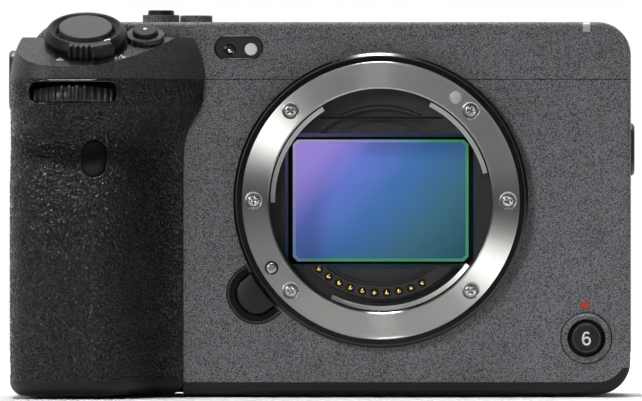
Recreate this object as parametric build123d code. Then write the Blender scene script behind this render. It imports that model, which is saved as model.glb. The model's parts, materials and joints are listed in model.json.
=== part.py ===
"""Full-frame cinema camera body with a side grip, a lens mount and a swing-out monitor.

Millimetres. +X is the right of the front view, -Y is the way the lens looks, +Z is up.
The origin is the mouth of the tripod thread, on the underside, below the lens axis.
"""
import os
from math import cos, exp, pi, radians, sin

from build123d import *

# Body shell
BODY_RIGHT = 51.6          # lens axis to the right-hand side wall
BODY_LEFT = 72.0           # lens axis to the left end of the top cover
REAR_LEFT = 75.6           # lens axis to the left side wall of the rear cover
BODY_HEIGHT = 76.8         # base to the flat top
LENS_HEIGHT = 40.0         # base to the lens axis
FRONT_DEPTH = 24.0         # split plane to the front wall
REAR_DEPTH = 20.0          # split plane to the rear wall
WALL = 1.6                 # shell thickness
CORNER = 6.9               # rounded corners of the front view
LOW_CORNER = 2.5           # the bottom corner behind the grip
FRONT_EDGE = 1.0           # rounding round the front wall
REAR_EDGE = 2.2            # rounding round the rear wall
SHOULDER_EDGE = 1.2        # rounding of the rear cover's left shoulder
TOP_COVER_H = 11.8         # height of the top cover
BASE = 1.55                # thickness of the base plate
WRAP_TOP = 5.5             # how far the base plate climbs round the right-hand corner

# Grip
GRIP_SIDE = 76.0           # lens axis to the outer side of the grip
GRIP_BORDER = 40.7         # lens axis to the edge of the grip beside the mount
GRIP_FLARE = 4.5           # how much the grip widens towards the mount under its deck
GRIP_DEPTH = 22.7          # how far the grip stands out from the front wall
BELLY_HEIGHT = 30.0        # height where it stands out furthest
BELLY_CURVE = 0.0022       # how fast it falls back above and below
GRIP_CORNER = 9.0          # outer front corner of the grip in plan
RIDGE = 59.0               # lens axis to where the front of the grip starts to turn back
NOTCH = 5.0                # depth of the finger notch under the deck
NOTCH_BELOW = 12.7         # top seam to the middle of the notch
NOTCH_SPREAD = 6.2         # half height of the notch
FLARE_BELOW = 8.5          # top seam to the middle of the flare
FLARE_SPREAD = 1.9         # how softly the flare grows with height
GRIP_FOOT = 3.1            # thickness of the black foot under the grip
SKIN = 1.2                 # thickness of the leather
SECTIONS = 13              # cross sections that shape the grip

# Sloping deck on top of the grip
DECK_TILT = 26.4           # slope of the deck in degrees
DECK_RISE = 2.4            # top seam to the deck's front edge
DECK_BACK = 8.5            # top seam to the flat behind the slope
DECK_DRAW = 2.4            # how far the deck's sides lean in at the top

# Lens mount
FLANGE = 28.0              # split plane to the flange face
REGISTER = 18.0            # flange face to the sensor surface
MOUNT_R = 28.6             # outside of the flange
THROAT_R = 23.05           # bore of the flange
TAB_R = 21.8               # inside of the bayonet tabs
TAB_ANGLES = ((14.6, 62.9), (122.0, 181.0), (243.0, 323.6))
FLANGE_T = 2.8             # thickness of the flange
SURROUND_R = 30.4          # outside of the black surround
SURROUND_LIP = 3.2         # how far the surround stands out
SCREW_CIRCLE = 26.2        # circle of the mount screws
SCREW_ANGLES = (0, 45, 135, 180, 225, 315)
SCREW_R = 1.35             # head of a mount screw
LOCK_ANGLE = 211.7         # place of the lens lock pin
LOCK_R = 1.05              # lock pin
RELEASE_ANGLE = 217.0      # place of the lens release button
RELEASE_REACH = 36.0       # lens axis to the outer end of that button
RELEASE_WIDTH = 8.2
CONTACTS = 10
CONTACT_CIRCLE = 19.05
CONTACT_START = 228.0      # first contact, in degrees
CONTACT_STEP = 7.63
CONTACT_R = 0.52

# Light chamber, shutter and sensor
GATE_W = 38.4              # light opening in front of the sensor
GATE_H = 26.4
CHAMBER_R = 23.4
CHAMBER_BACK = 13.2        # split plane to the back of the light chamber
SHUTTER_T = 1.9            # thickness of the shutter frame
BLADE_T = 0.25
BLADE_GAP = 0.17
BLADE_H = 9.8
BLADES = ("lower", "middle", "upper")
SENSOR_W = 37.2
SENSOR_H = 25.5
SENSOR_T = 0.8
CARRIER_T = 1.2            # frame under the sensor
HUB_T = 2.3                # its hub, behind
SLIDE_T = 1.5
STAGE_T = 1.6              # fixed plate of the stabiliser
POST_L = 2.4               # that plate to the board
POST_R = 1.4

# Controls on the deck
DIAL_R = 8.6               # zoom ring
DIAL_X = -60.5
DIAL_BEHIND = 10.9         # along the slope, from the deck's front edge to the dial's axis
RELEASE_DISC_R = 5.48
COLLAR_R = 7.3
RING_T = 1.8
RING_LIFT = 1.6            # gap between the deck and the ring, filled by the collar
LEVER_R = 9.5
LEVER_HALF = 33.0          # half angle of the ribbed lever
LEVER_TURN = 9.0           # the lever's middle is this far round to the right
TOP_BUTTON_X = -48.3
TOP_BUTTON_R = 2.67
TOP_BUTTON_BEHIND = 12.7   # along the slope, from the deck's front edge
TOP_COLLAR_T = 1.1         # wall of the black collar round that button
TOP_COLLAR_H = 1.3

# Front dial
WHEEL_R = 11.0
WHEEL_T = 3.4
WHEEL_X = -62.8
WHEEL_TILT = 15.0          # its axis leans back by this
WHEEL_BELOW = 2.9          # top seam to the level of its foremost point
WHEEL_PROUD = 0.9          # how far it stands out of the grip
WHEEL_RIBS = 42
SLOT_W = 18.2
SLOT_H = 4.7
SLOT_BELOW = 0.5           # top seam to the slot's upper edge
SLOT_CORNER = 1.6
AXLE_R = 2.0               # axle of each dial

# Buttons on the other faces
REC_X = 42.4
REC_HEIGHT = 11.6
REC_COLLAR_R = 5.15
REC_R = 3.2
TOP_REC_X = -45.5
TOP_REC_Y = -14.0
TOP_REC_R = 2.7
TOP_PLATE_R = 3.8
TOP_PLATE_H = 1.6
SWITCH_X = -38.3
SWITCH_Y = -10.0
SWITCH_R = 3.35
SWITCH_H = 1.45
BUTTON_TRAVEL = 0.5

# Windows and lamp on the front
WINDOW_X = -29.3
WINDOW_RISE = 6.5          # top seam to the middle of the window
WINDOW_W = 10.0
WINDOW_H = 4.7
REMOTE_X = -58.6
REMOTE_BELOW = 16.4        # top seam to the middle of the infrared window
REMOTE_W = 5.2
REMOTE_H = 7.7
TALLY_X = 42.45
TALLY_W = 1.5
TALLY_H = 2.0

# Fixings: 1/4 inch threads, modelled as plain bores of the thread's root
THREAD_R = 2.6
THREAD_DEPTH = 5.5
TRIPOD_R = 8.0
INSERT_R = 5.0
INSERT_SPOTS = ((-22.0, -13.0), (24.0, -13.0), (40.0, 8.0))
LEFT_LUG_W = 12.4
RIGHT_LUG_W = 10.8
LUG_PROUD = 1.05
LUG_CORNER = 3.0
LUG_BELOW = 0.1            # top seam to the middle of the left lug
RIGHT_LUG_HEIGHT = 50.6
LUG_Y = -7.0
SHOE_W = 22.0
SHOE_L = 20.0
SHOE_H = 5.2
SHOE_GROOVE = 18.8
SHOE_MOUTH = 12.7
SHOE_LIP = 1.3             # thickness of the lips over the groove
SHOE_FLOOR = 1.4
SHOE_Y = -2.0
FOOT_W = 3.2               # a foot's length and width, and how far it stands out
FOOT_D = 1.8
FOOT_PROUD = 0.6
FOOT_LEFT = -63.8
FOOT_RIGHT = 34.8
FOOT_REAR = 17.0
RIGHT_FEET = (-16.0, 12.0)

# Electronics and cooling
BOARD_LEFT = 36.0          # lens axis to the board's left edge
BOARD_RIGHT = 48.0
BOARD_LOW = 8.0
BOARD_BELOW = 3.0          # top seam to the board's upper edge
BOARD_T = 1.6
BOARD_NOTCH = 6.0          # width of the cut-out in its upper left corner, twice as high
CHIP_T = 1.5
CHIPS = ((0.0, 0.0, 20.0), (27.0, 1.0, 11.0))   # place from the lens axis, and side
SINK_W = 46.0
SINK_T = 2.0
SINK_MARGIN = 3.0          # board's upper and lower edge to the heat sink's
FIN_T = 1.0
FIN_PITCH = 4.0
FIN_H = 4.0
FINS = 12
FAN_SIDE = 40.0            # square frame of the fan
FAN_T = 8.4
FAN_WALL = 1.2             # its back plate
FAN_R = 17.0               # reach of the blades
FAN_HUB_R = 6.0
FAN_PIN_R = 1.0
FAN_X = -1.0
FAN_BLADES = 11

# Battery, doors and cards
BATTERY_W = 22.7
BATTERY_L = 38.7
BATTERY_H = 51.7
BATTERY_X = -61.6
BATTERY_REAR = 10.2        # split plane to the battery's rear end
DOOR_T = 1.5
DOOR_GAP = 0.3
PIN_R = 0.45
PIN_FIT = 0.05
DOOR_LAP = 1.7             # how far the battery door reaches past the battery in front
PIN_L = 1.2                # how far a door's hinge pin enters the wall at each end
CARD_Y0 = 6.5
CARD_Y1 = 17.5
CARD_Z0 = 14.0
CARD_BELOW = 7.0           # top seam to the card door's upper edge
CARD_W = 20.0              # a card slot's width, thickness and depth
CARD_T = 3.0
CARD_L = 22.0
PORT_Z0 = 12.0
PORT_Z1 = 44.0

# Rear controls
REAR_WHEEL_X = -56.0
REAR_WHEEL_HEIGHT = 28.0
REAR_WHEEL_R = 11.0
CENTER_R = 4.2
REAR_DIAL_R = 9.5
REAR_DIAL_T = 4.0
REAR_DIAL_X = -60.0
REAR_DIAL_RISE = 4.0       # top seam to the middle of the rear dial
STICK_X = -45.0
STICK_BELOW = 15.0         # top seam to the joystick
STICK_R = 3.4
MENU_X = -44.0
MENU_BELOW = 5.0           # top seam to the menu button
PLAY_X = -66.5
PLAY_HEIGHT = 11.5
REAR_BUTTON_R = 2.4

# Monitor
MONITOR_W = 71.0
MONITOR_H = 55.0
MONITOR_T = 9.4
MONITOR_RIGHT = 38.0
MONITOR_LOW = 8.0
HINGE_X = 45.6
HINGE_BEHIND = 5.0         # rear wall to the hinge axis
HINGE_R = 3.1
HINGE_PIN_R = 1.5
ARM_H = 25.0
EAR_T = 5.0

# Clearances
RUN = 0.06                 # shaft in its hole, on the radius
GAP = 0.3                  # moving piece beside a fixed one

TOP_SEAM = BODY_HEIGHT - TOP_COVER_H
NOTCH_HEIGHT = TOP_SEAM - NOTCH_BELOW
FLARE_HEIGHT = TOP_SEAM - FLARE_BELOW
DECK_FRONT = TOP_SEAM + DECK_RISE
DECK_TOP = TOP_SEAM + DECK_BACK
WHEEL_HEIGHT = TOP_SEAM - WHEEL_BELOW
SLOT_HIGH = TOP_SEAM - SLOT_BELOW
SLOT_LOW = SLOT_HIGH - SLOT_H
WINDOW_HEIGHT = TOP_SEAM + WINDOW_RISE
REMOTE_HEIGHT = TOP_SEAM - REMOTE_BELOW
LEFT_LUG_HEIGHT = TOP_SEAM - LUG_BELOW
REAR_DIAL_HEIGHT = TOP_SEAM + REAR_DIAL_RISE
STICK_HEIGHT = TOP_SEAM - STICK_BELOW
MENU_HEIGHT = TOP_SEAM - MENU_BELOW
CARD_Z1 = TOP_SEAM - CARD_BELOW
BOARD_TOP = TOP_SEAM - BOARD_BELOW
FAN_HEIGHT = (BOARD_LOW + BOARD_TOP) / 2
BATTERY_Y = BATTERY_REAR - BATTERY_L / 2
FRONT_Y = -FRONT_DEPTH
FLANGE_Y = -FLANGE
SENSOR_Y = FLANGE_Y + REGISTER
TAB_Y = FLANGE_Y + FLANGE_T
CHAMBER_Y = FRONT_Y + WALL
GATE_Y = -CHAMBER_BACK
CARRIER_Y = SENSOR_Y + SENSOR_T
HUB_Y = CARRIER_Y + CARRIER_T
SLIDE_Y = HUB_Y + HUB_T + GAP
STAGE_Y = SLIDE_Y + SLIDE_T + GAP
BOARD_Y = STAGE_Y + STAGE_T + POST_L
SINK_Y = BOARD_Y + BOARD_T
FAN_Y = SINK_Y + SINK_T + FIN_H
BLADE_PITCH = BLADE_T + BLADE_GAP


def block(x0, x1, y0, y1, z0, z1):
    """A block between two limits on each axis."""
    middle = Pos((x0 + x1) / 2, (y0 + y1) / 2, (z0 + z1) / 2)
    return middle * Box(x1 - x0, y1 - y0, z1 - z0)


def front_plate(sketch, y0, y1):
    """A front-view sketch made solid between two depths."""
    return extrude(Plane.XZ.offset(-y1) * sketch, y1 - y0)


def plan_plate(sketch, z0, z1):
    """A plan-view sketch made solid between two heights."""
    return extrude(Plane.XY.offset(z0) * sketch, z1 - z0)


def round_y(radius, x, z, y0, y1):
    """A round bar along Y."""
    return front_plate(Pos(x, z) * Circle(radius), y0, y1)


def round_z(radius, x, y, z0, z1):
    """A round bar along Z."""
    return plan_plate(Pos(x, y) * Circle(radius), z0, z1)


def round_x(radius, y, z, x0, x1):
    """A round bar along X."""
    return extrude(Plane(origin=(x0, y, z), z_dir=(1, 0, 0)) * Circle(radius), x1 - x0)


def on_lens(angle, radius):
    """Front-view point at an angle and a distance from the lens axis."""
    return radius * cos(radians(angle)), LENS_HEIGHT + radius * sin(radians(angle))


def lens_ring(outer, inner, y0, y1):
    """A ring about the lens axis."""
    return round_y(outer, 0, LENS_HEIGHT, y0, y1) - round_y(inner, 0, LENS_HEIGHT, y0, y1)


def lens_sector(outer, inner, start, end, y0, y1):
    """A piece of ring about the lens axis, between two angles."""
    first, last = on_lens(start, outer), on_lens(end, outer)
    middle = (start + end) / 2
    outside = ThreePointArc(first, on_lens(middle, outer), last)
    inside = ThreePointArc(on_lens(end, inner), on_lens(middle, inner), on_lens(start, inner))
    sides = [Line(last, on_lens(end, inner)), Line(on_lens(start, inner), first)]
    return front_plate(make_face([outside, sides[0], inside, sides[1]]), y0, y1)


def edges_at(shape, axis, value):
    """The edges of a solid, or of a list of edges, that lie in one plane square to an axis."""
    edges = shape if isinstance(shape, ShapeList) else shape.edges()
    return edges.filter_by_position(axis, value - 0.01, value + 0.01)


def ribbed(radius, count, depth, share=0.5):
    """A round outline with grooves all the way round."""
    width = 2 * pi * radius / count * share
    groove = Rectangle(2 * depth, width)
    return Circle(radius) - PolarLocations(radius, count) * groove


# Body shell

def body_block(left):
    """The whole body as a block with its front and rear edges rounded."""
    width, middle = BODY_RIGHT + left, (BODY_RIGHT - left) / 2
    outline = Pos(middle, BODY_HEIGHT / 2) * RectangleRounded(width, BODY_HEIGHT, CORNER)
    if left == REAR_LEFT:
        outline += Pos(CORNER - left, CORNER) * RectangleRounded(2 * CORNER, 2 * CORNER, LOW_CORNER)
    solid = front_plate(outline, FRONT_Y, REAR_DEPTH)
    solid = fillet(edges_at(solid, Axis.Y, FRONT_Y), FRONT_EDGE)
    return fillet(edges_at(solid, Axis.Y, REAR_DEPTH), REAR_EDGE)


def hollow(left):
    """The space inside the shell."""
    width, middle = BODY_RIGHT + left - 2 * WALL, (BODY_RIGHT - left) / 2
    height = BODY_HEIGHT - WALL - BASE
    outline = Pos(middle, BASE + height / 2) * RectangleRounded(width, height, CORNER - WALL)
    return front_plate(outline, FRONT_Y + WALL, REAR_DEPTH - WALL)


def base_wrap():
    """The strip along the bottom that climbs round the right-hand corner."""
    solid = body_block(REAR_LEFT)
    low = block(-REAR_LEFT, BODY_RIGHT, FRONT_Y, REAR_DEPTH, 0, WRAP_TOP)
    return (solid & low) - Pos(0, 0, BASE) * solid


def release_outline(spread):
    """Front view of the lens release button, or of its recess."""
    length = RELEASE_REACH - THROAT_R + spread
    shape = RectangleRounded(length, RELEASE_WIDTH + 2 * spread, RELEASE_WIDTH / 3 + spread)
    x, z = on_lens(RELEASE_ANGLE, THROAT_R + length / 2)
    return Pos(x, z) * Rot(0, 0, RELEASE_ANGLE) * shape


def side_vents():
    """Slots in the right-hand wall that let the fan's air out."""
    slots = []
    for row in range(6):
        z = RIGHT_LUG_HEIGHT - RIGHT_LUG_W / 2 - 5 - 4.2 * row
        slots.append(block(BODY_RIGHT - WALL - 1, BODY_RIGHT + 1, FRONT_Y + 6, -4, z - 0.9, z + 0.9))
    return slots


def front_cover():
    """Front shell: front wall, right-hand wall and a wall behind the grip's edge."""
    solid = body_block(BODY_LEFT) & block(-GRIP_BORDER, BODY_RIGHT, FRONT_Y, 0, 0, TOP_SEAM)
    solid -= base_wrap()
    solid -= block(-GRIP_BORDER, BODY_RIGHT, FRONT_Y, 0, 0, BASE)
    solid -= hollow(BODY_LEFT) & block(-GRIP_BORDER + WALL, BODY_RIGHT, FRONT_Y, 0, 0, BODY_HEIGHT)
    solid -= round_y(CHAMBER_R + 0.2, 0, LENS_HEIGHT, FRONT_Y, CHAMBER_Y)
    x, z = on_lens(LOCK_ANGLE, SCREW_CIRCLE + 0.2)
    solid -= round_y(LOCK_R + RUN, x, z, FRONT_Y, CHAMBER_Y)
    solid -= front_plate(release_outline(GAP), FRONT_Y, CHAMBER_Y) - lens_hole(SURROUND_R)
    solid -= round_y(REC_COLLAR_R, REC_X, REC_HEIGHT, FRONT_Y, CHAMBER_Y)
    solid -= lug_body(1)
    return solid - side_vents()


def lens_hole(radius):
    """A round bar on the lens axis, longer than the front wall is thick."""
    return round_y(radius, 0, LENS_HEIGHT, FLANGE_Y - 1, CHAMBER_Y + 1)


def shoe_channel():
    """The way into the shoe from behind, cut flush into the top."""
    y0, floor = SHOE_Y + SHOE_L / 2, BODY_HEIGHT - SHOE_H + SHOE_FLOOR
    return block(-SHOE_GROOVE / 2, SHOE_GROOVE / 2, y0, REAR_DEPTH, floor, BODY_HEIGHT)


def shoe_tray():
    """Floor and sides of that channel."""
    y0, low = SHOE_Y + SHOE_L / 2, BODY_HEIGHT - SHOE_H
    half = SHOE_GROOVE / 2 + WALL
    return block(-half, half, y0, REAR_DEPTH - WALL, low, BODY_HEIGHT - WALL / 2) - shoe_channel()


def top_cover():
    """Top shell with the shoe's channel, the record button's plate and the rear dial's slot."""
    band = block(-BODY_LEFT, BODY_RIGHT, FRONT_Y, REAR_DEPTH, TOP_SEAM, BODY_HEIGHT)
    solid = body_block(BODY_LEFT) & band
    solid -= hollow(BODY_LEFT)
    solid -= front_plate(window_outline(), FRONT_Y, CHAMBER_Y)
    solid -= tally_block()
    solid -= block(-SHOE_W / 2, SHOE_W / 2, SHOE_Y - SHOE_L / 2, SHOE_Y + SHOE_L / 2, TOP_SEAM, BODY_HEIGHT)
    solid = solid + shoe_tray() - shoe_channel() - lug_body(-1)
    top = BODY_HEIGHT - WALL
    for x, y in INSERT_SPOTS:
        solid -= round_z(INSERT_R, x, y, top, BODY_HEIGHT)
    solid += round_z(TOP_PLATE_R, TOP_REC_X, TOP_REC_Y, BODY_HEIGHT, BODY_HEIGHT + TOP_PLATE_H)
    solid -= round_z(TOP_REC_R + RUN, TOP_REC_X, TOP_REC_Y, top, BODY_HEIGHT + TOP_PLATE_H)
    solid -= round_z(SWITCH_R * 0.5 + RUN, SWITCH_X, SWITCH_Y, top, BODY_HEIGHT)
    reach = REAR_DIAL_R + GAP
    low, high = REAR_DIAL_HEIGHT - REAR_DIAL_T / 2 - GAP, REAR_DIAL_HEIGHT + REAR_DIAL_T / 2 + GAP
    return solid - round_z(reach, REAR_DIAL_X, rear_dial_y(), low, high)


def rear_dial_y():
    """Depth of the rear dial's axis, so that the dial stands 1.2 mm proud."""
    return REAR_DEPTH - REAR_DIAL_R + 1.2


def rear_cover():
    """Rear shell with a shoulder beside the top cover and ears for the monitor's hinge."""
    solid = body_block(REAR_LEFT) & block(-REAR_LEFT, BODY_RIGHT, 0, REAR_DEPTH, 0, TOP_SEAM)
    shoulder = edges_at(edges_at(solid, Axis.Z, TOP_SEAM), Axis.X, -REAR_LEFT)
    solid = fillet(shoulder, SHOULDER_EDGE)
    solid -= base_wrap()
    solid -= block(-REAR_LEFT, BODY_RIGHT, 0, REAR_DEPTH, 0, BASE)
    inside = -BODY_LEFT + WALL
    shelf = block(-REAR_LEFT, inside, 0, REAR_DEPTH, TOP_SEAM - WALL, TOP_SEAM)
    solid -= hollow(REAR_LEFT) - shelf
    solid -= battery_bay(GAP)
    back = REAR_DEPTH - WALL
    seat = round_y(REAR_WHEEL_R + GAP, REAR_WHEEL_X, REAR_WHEEL_HEIGHT, back + WALL / 2, REAR_DEPTH)
    solid -= seat
    holes = (
        (REAR_WHEEL_X, REAR_WHEEL_HEIGHT, CENTER_R + 1.0),
        (STICK_X, STICK_HEIGHT, STICK_R + 1.0),
        (MENU_X, MENU_HEIGHT, REAR_BUTTON_R + RUN),
        (PLAY_X, PLAY_HEIGHT, REAR_BUTTON_R + RUN),
    )
    for x, z, radius in holes:
        solid -= round_y(radius, x, z, back, REAR_DEPTH)
    solid -= block(-REAR_LEFT, -REAR_LEFT + WALL, CARD_Y0, CARD_Y1 + 1.3, CARD_Z0, CARD_Z1)
    solid -= door_pin_holes(-REAR_LEFT + DOOR_T / 2, CARD_Y1, CARD_Z0, CARD_Z1)
    solid -= block(BODY_RIGHT - WALL, BODY_RIGHT, CARD_Y0, CARD_Y1 + 1.3, PORT_Z0, PORT_Z1)
    solid -= door_pin_holes(BODY_RIGHT - DOOR_T / 2, CARD_Y1, PORT_Z0, PORT_Z1)
    for ear in monitor_ears():
        solid += ear
    return solid


def door_pin_holes(x, y, low, high):
    """Sockets for a door's hinge pin above and below its opening."""
    reach = PIN_L - DOOR_GAP + PIN_FIT
    return round_z(PIN_R + PIN_FIT, x, y, low - reach, high + reach)


def monitor_ears():
    """The two ears on the rear wall that hold the monitor's hinge pin."""
    middle = MONITOR_LOW + MONITOR_H / 2
    y = REAR_DEPTH + HINGE_BEHIND
    ears = []
    for low in (middle - ARM_H / 2 - EAR_T, middle + ARM_H / 2):
        ear = round_z(HINGE_R, HINGE_X, y, low, low + EAR_T)
        ear += block(HINGE_X - HINGE_R, HINGE_X + HINGE_R, REAR_DEPTH - 0.5, y, low, low + EAR_T)
        ears.append(ear - round_z(HINGE_PIN_R + RUN, HINGE_X, y, low, low + EAR_T))
    return ears


# Grip

def nose(z):
    """Depth of the grip's front surface at a height."""
    belly = GRIP_DEPTH - BELLY_CURVE * (z - BELLY_HEIGHT) ** 2
    return FRONT_Y - belly + NOTCH * exp(-((z - NOTCH_HEIGHT) / NOTCH_SPREAD) ** 2)


def flare(z):
    """How far the flare under the deck has grown at a height, from 0 to 1."""
    return 1 / (1 + exp(-(z - FLARE_HEIGHT) / FLARE_SPREAD))


def grip_section(z, inset=0.0, lean=0.0, back=0.0):
    """Plan of the grip at a height: side, round corner, front, and the flank to the mount."""
    grown = flare(z)
    side = -GRIP_SIDE + inset + lean
    front = nose(min(z, TOP_SEAM)) + inset + lean * 0.4
    border = -GRIP_BORDER + GRIP_FLARE * grown - inset - lean
    radius = GRIP_CORNER - inset
    end = (border, FRONT_Y - 0.4 + inset, z)
    turn = (-RIDGE + 9.0 - 6.0 * grown - inset, front, z)
    run_in = (-49.5 + 9.0 * grown - inset, FRONT_Y - 1.2 - 9.3 * grown + inset, z)
    start, corner = (side, back, z), (side, front + radius, z)
    ridge = (-RIDGE, front, z)
    arc = RadiusArc(corner, (side + radius, front, z), -radius)
    edges = [
        Line(start, corner),
        arc,
        Line((side + radius, front, z), ridge),
        Bezier(ridge, turn, run_in, end),
        Line(end, (border, back, z)),
        Line((border, back, z), start),
    ]
    return make_face(edges)


def grip_form(inset=0.0):
    """The grip from its foot to the deck, smooth through its cross sections."""
    step = (TOP_SEAM - GRIP_FOOT) / (SECTIONS - 1)
    return loft([grip_section(GRIP_FOOT + step * i, inset) for i in range(SECTIONS)])


def remote_prism():
    shape = Pos(REMOTE_X, REMOTE_HEIGHT) * SlotOverall(REMOTE_H, REMOTE_W, rotation=90)
    return front_plate(shape, FRONT_Y - GRIP_DEPTH - 5, FRONT_Y - 6)


def wheel_place():
    """Where the front dial's axis stands, leaning back."""
    lean = radians(WHEEL_TILT)
    y = nose(WHEEL_HEIGHT) - WHEEL_PROUD + WHEEL_R * cos(lean)
    z = WHEEL_HEIGHT - WHEEL_R * sin(lean)
    return Plane(origin=(WHEEL_X, y, z), x_dir=(1, 0, 0), z_dir=(0, sin(lean), cos(lean)))


def wheel_room():
    """The pocket that the front dial turns in, with its slot in the grip's front."""
    pocket = extrude(wheel_place() * Circle(WHEEL_R + GAP), WHEEL_T / 2 + GAP, both=True)
    middle = (SLOT_LOW + SLOT_HIGH) / 2
    shape = Pos(WHEEL_X, middle) * RectangleRounded(SLOT_W, SLOT_H, SLOT_CORNER)
    front = nose(WHEEL_HEIGHT)
    return pocket + front_plate(shape, front - 6, front + 5.2)


def battery_bay(spread):
    """The space of the battery, grown by a clearance."""
    x, y = BATTERY_W / 2 + spread, BATTERY_L / 2 + spread
    top = BASE + DOOR_GAP + BATTERY_H + spread
    return block(BATTERY_X - x, BATTERY_X + x, BATTERY_Y - y, BATTERY_Y + y, 0, top)


def grip_skin(outer, inner):
    skin = outer - inner
    skin -= block(-GRIP_SIDE + SKIN, -GRIP_BORDER + GRIP_FLARE, -SKIN - 1, 1, 0, BODY_HEIGHT)
    skin -= block(-GRIP_BORDER - 8, 0, FRONT_Y, 1, 0, BODY_HEIGHT)
    return skin - remote_prism() - wheel_room() - lug_body(-1)


def grip_core(inner):
    core = inner - block(-GRIP_BORDER - SKIN, 0, FRONT_Y, 1, 0, BODY_HEIGHT)
    back = battery_back()
    rear = block(-REAR_LEFT + WALL, -GRIP_BORDER - SKIN, 0, back, GRIP_FOOT, TOP_SEAM - WALL)
    core += rear & hollow(REAR_LEFT)
    core -= battery_bay(GAP)
    core -= block(-REAR_LEFT, -REAR_LEFT + 6, CARD_Y0 - 1, back + 1, 0, TOP_SEAM)
    return core - wheel_room() - lug_body(-1)


def deck_plane(behind, x, lift=0.0):
    """A plane on the sloping deck, a distance up the slope from its front edge."""
    tilt = radians(DECK_TILT)
    edge = nose(TOP_SEAM)
    y = edge + behind * cos(tilt) - lift * sin(tilt)
    z = DECK_FRONT + behind * sin(tilt) + lift * cos(tilt)
    return Plane(origin=(x, y, z), x_dir=(1, 0, 0), z_dir=(0, -sin(tilt), cos(tilt)))


def grip_deck():
    levels = ((TOP_SEAM, 0.0), ((TOP_SEAM + DECK_TOP) / 2, DECK_DRAW * 0.3), (DECK_TOP, DECK_DRAW))
    solid = loft([grip_section(z, 0, lean) for z, lean in levels])
    above = deck_plane(0, -GRIP_SIDE / 2)
    solid -= extrude(above * Rectangle(3 * GRIP_SIDE, 3 * GRIP_SIDE), 40)
    solid -= block(-BODY_LEFT, 0, FRONT_Y, 1, TOP_SEAM - 1, BODY_HEIGHT)
    collar = extrude(deck_plane(DIAL_BEHIND, DIAL_X) * Circle(COLLAR_R), RING_LIFT)
    root = extrude(deck_plane(DIAL_BEHIND, DIAL_X) * Circle(COLLAR_R), -4) & front_room()
    solid += collar & front_room()
    solid += root
    seat = deck_plane(TOP_BUTTON_BEHIND, TOP_BUTTON_X)
    collar = Circle(TOP_BUTTON_R + TOP_COLLAR_T)
    solid += extrude(seat * collar, TOP_COLLAR_H) & front_room()
    solid += extrude(seat * collar, -2) & front_room()
    solid -= extrude(seat * Circle(TOP_BUTTON_R + RUN), TOP_COLLAR_H + 0.1)
    solid -= extrude(seat * Circle(TOP_BUTTON_R + RUN), -1.2)
    bore = deck_plane(DIAL_BEHIND, DIAL_X)
    solid -= extrude(bore * Circle(RELEASE_DISC_R * 0.4 + RUN), RING_LIFT + 1)
    solid -= extrude(bore * Circle(RELEASE_DISC_R * 0.4 + RUN), -2.5)
    return solid - wheel_room() - lug_body(-1)


def front_room():
    """All that lies in front of the top cover."""
    return block(-GRIP_SIDE, 0, FRONT_Y - 40, FRONT_Y, 0, BODY_HEIGHT + 10)


def base_plate():
    strip = base_wrap() - block(-REAR_LEFT, -GRIP_BORDER, FRONT_Y, 0, -1, BODY_HEIGHT)
    foot = extrude(Pos(0, 0, -GRIP_FOOT) * grip_section(GRIP_FOOT), GRIP_FOOT)
    foot = fillet(edges_at(foot, Axis.Z, 0).filter_by_position(Axis.Y, -90, -0.5), GRIP_FOOT - 0.15)
    rear_foot = block(-REAR_LEFT + WALL, -GRIP_BORDER, 0, REAR_DEPTH - WALL, BASE, GRIP_FOOT)
    solid = strip + foot + (rear_foot & hollow(REAR_LEFT))
    solid -= battery_bay(GAP)
    x, front = door_half() + DOOR_GAP, BATTERY_Y - BATTERY_L / 2 - DOOR_LAP - DOOR_GAP
    back = battery_hinge_y() + DOOR_T / 2 + DOOR_GAP
    solid -= block(BATTERY_X - x, BATTERY_X + x, front, back, 0, BASE + DOOR_GAP)
    pin = door_half() + PIN_L + PIN_FIT
    solid -= round_x(PIN_R + PIN_FIT, battery_hinge_y(), DOOR_T / 2, BATTERY_X - pin, BATTERY_X + pin)
    solid -= round_z(TRIPOD_R, 0, 0, 0, BASE)
    for x, y in foot_spots():
        solid -= foot_strip(x, y)
    return solid


# Lens mount

def mount_surround():
    solid = lens_ring(SURROUND_R, MOUNT_R + 0.1, FRONT_Y - SURROUND_LIP, FRONT_Y)
    solid = chamfer(edges_at(solid, Axis.Y, FRONT_Y - SURROUND_LIP).sort_by(SortBy.LENGTH)[-1], 0.6)
    solid += lens_ring(MOUNT_R + 0.2, SCREW_CIRCLE, TAB_Y, FRONT_Y)
    return solid - lock_hole()


def lock_hole():
    """Clearance for the lock pin right through the mount."""
    x, z = on_lens(LOCK_ANGLE, SCREW_CIRCLE + 0.2)
    return round_y(LOCK_R + RUN, x, z, FLANGE_Y - 1, CHAMBER_Y + 3)


def mount_ring():
    solid = lens_ring(MOUNT_R, THROAT_R, FLANGE_Y, TAB_Y)
    solid = chamfer(edges_at(solid, Axis.Y, FLANGE_Y), 0.3)
    for angle in SCREW_ANGLES:
        x, z = on_lens(angle, SCREW_CIRCLE)
        solid -= round_y(SCREW_R + 0.5, x, z, FLANGE_Y, FLANGE_Y + 0.7)
        solid -= round_y(0.8, x, z, FLANGE_Y, TAB_Y)
    return solid - lock_hole()


def mount_screws():
    screws = []
    for angle in SCREW_ANGLES:
        x, z = on_lens(angle, SCREW_CIRCLE)
        head = round_y(SCREW_R, x, z, FLANGE_Y + 0.05, FLANGE_Y + 0.7)
        screws.append(head + round_y(0.75, x, z, FLANGE_Y + 0.7, TAB_Y))
    return screws


def bayonet_tabs():
    solid = lens_ring(SCREW_CIRCLE, THROAT_R + 0.1, TAB_Y, FRONT_Y)
    for start, end in TAB_ANGLES:
        solid += lens_sector(THROAT_R + 0.5, TAB_R, start, end, TAB_Y, FRONT_Y)
    return solid - lock_hole()


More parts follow.
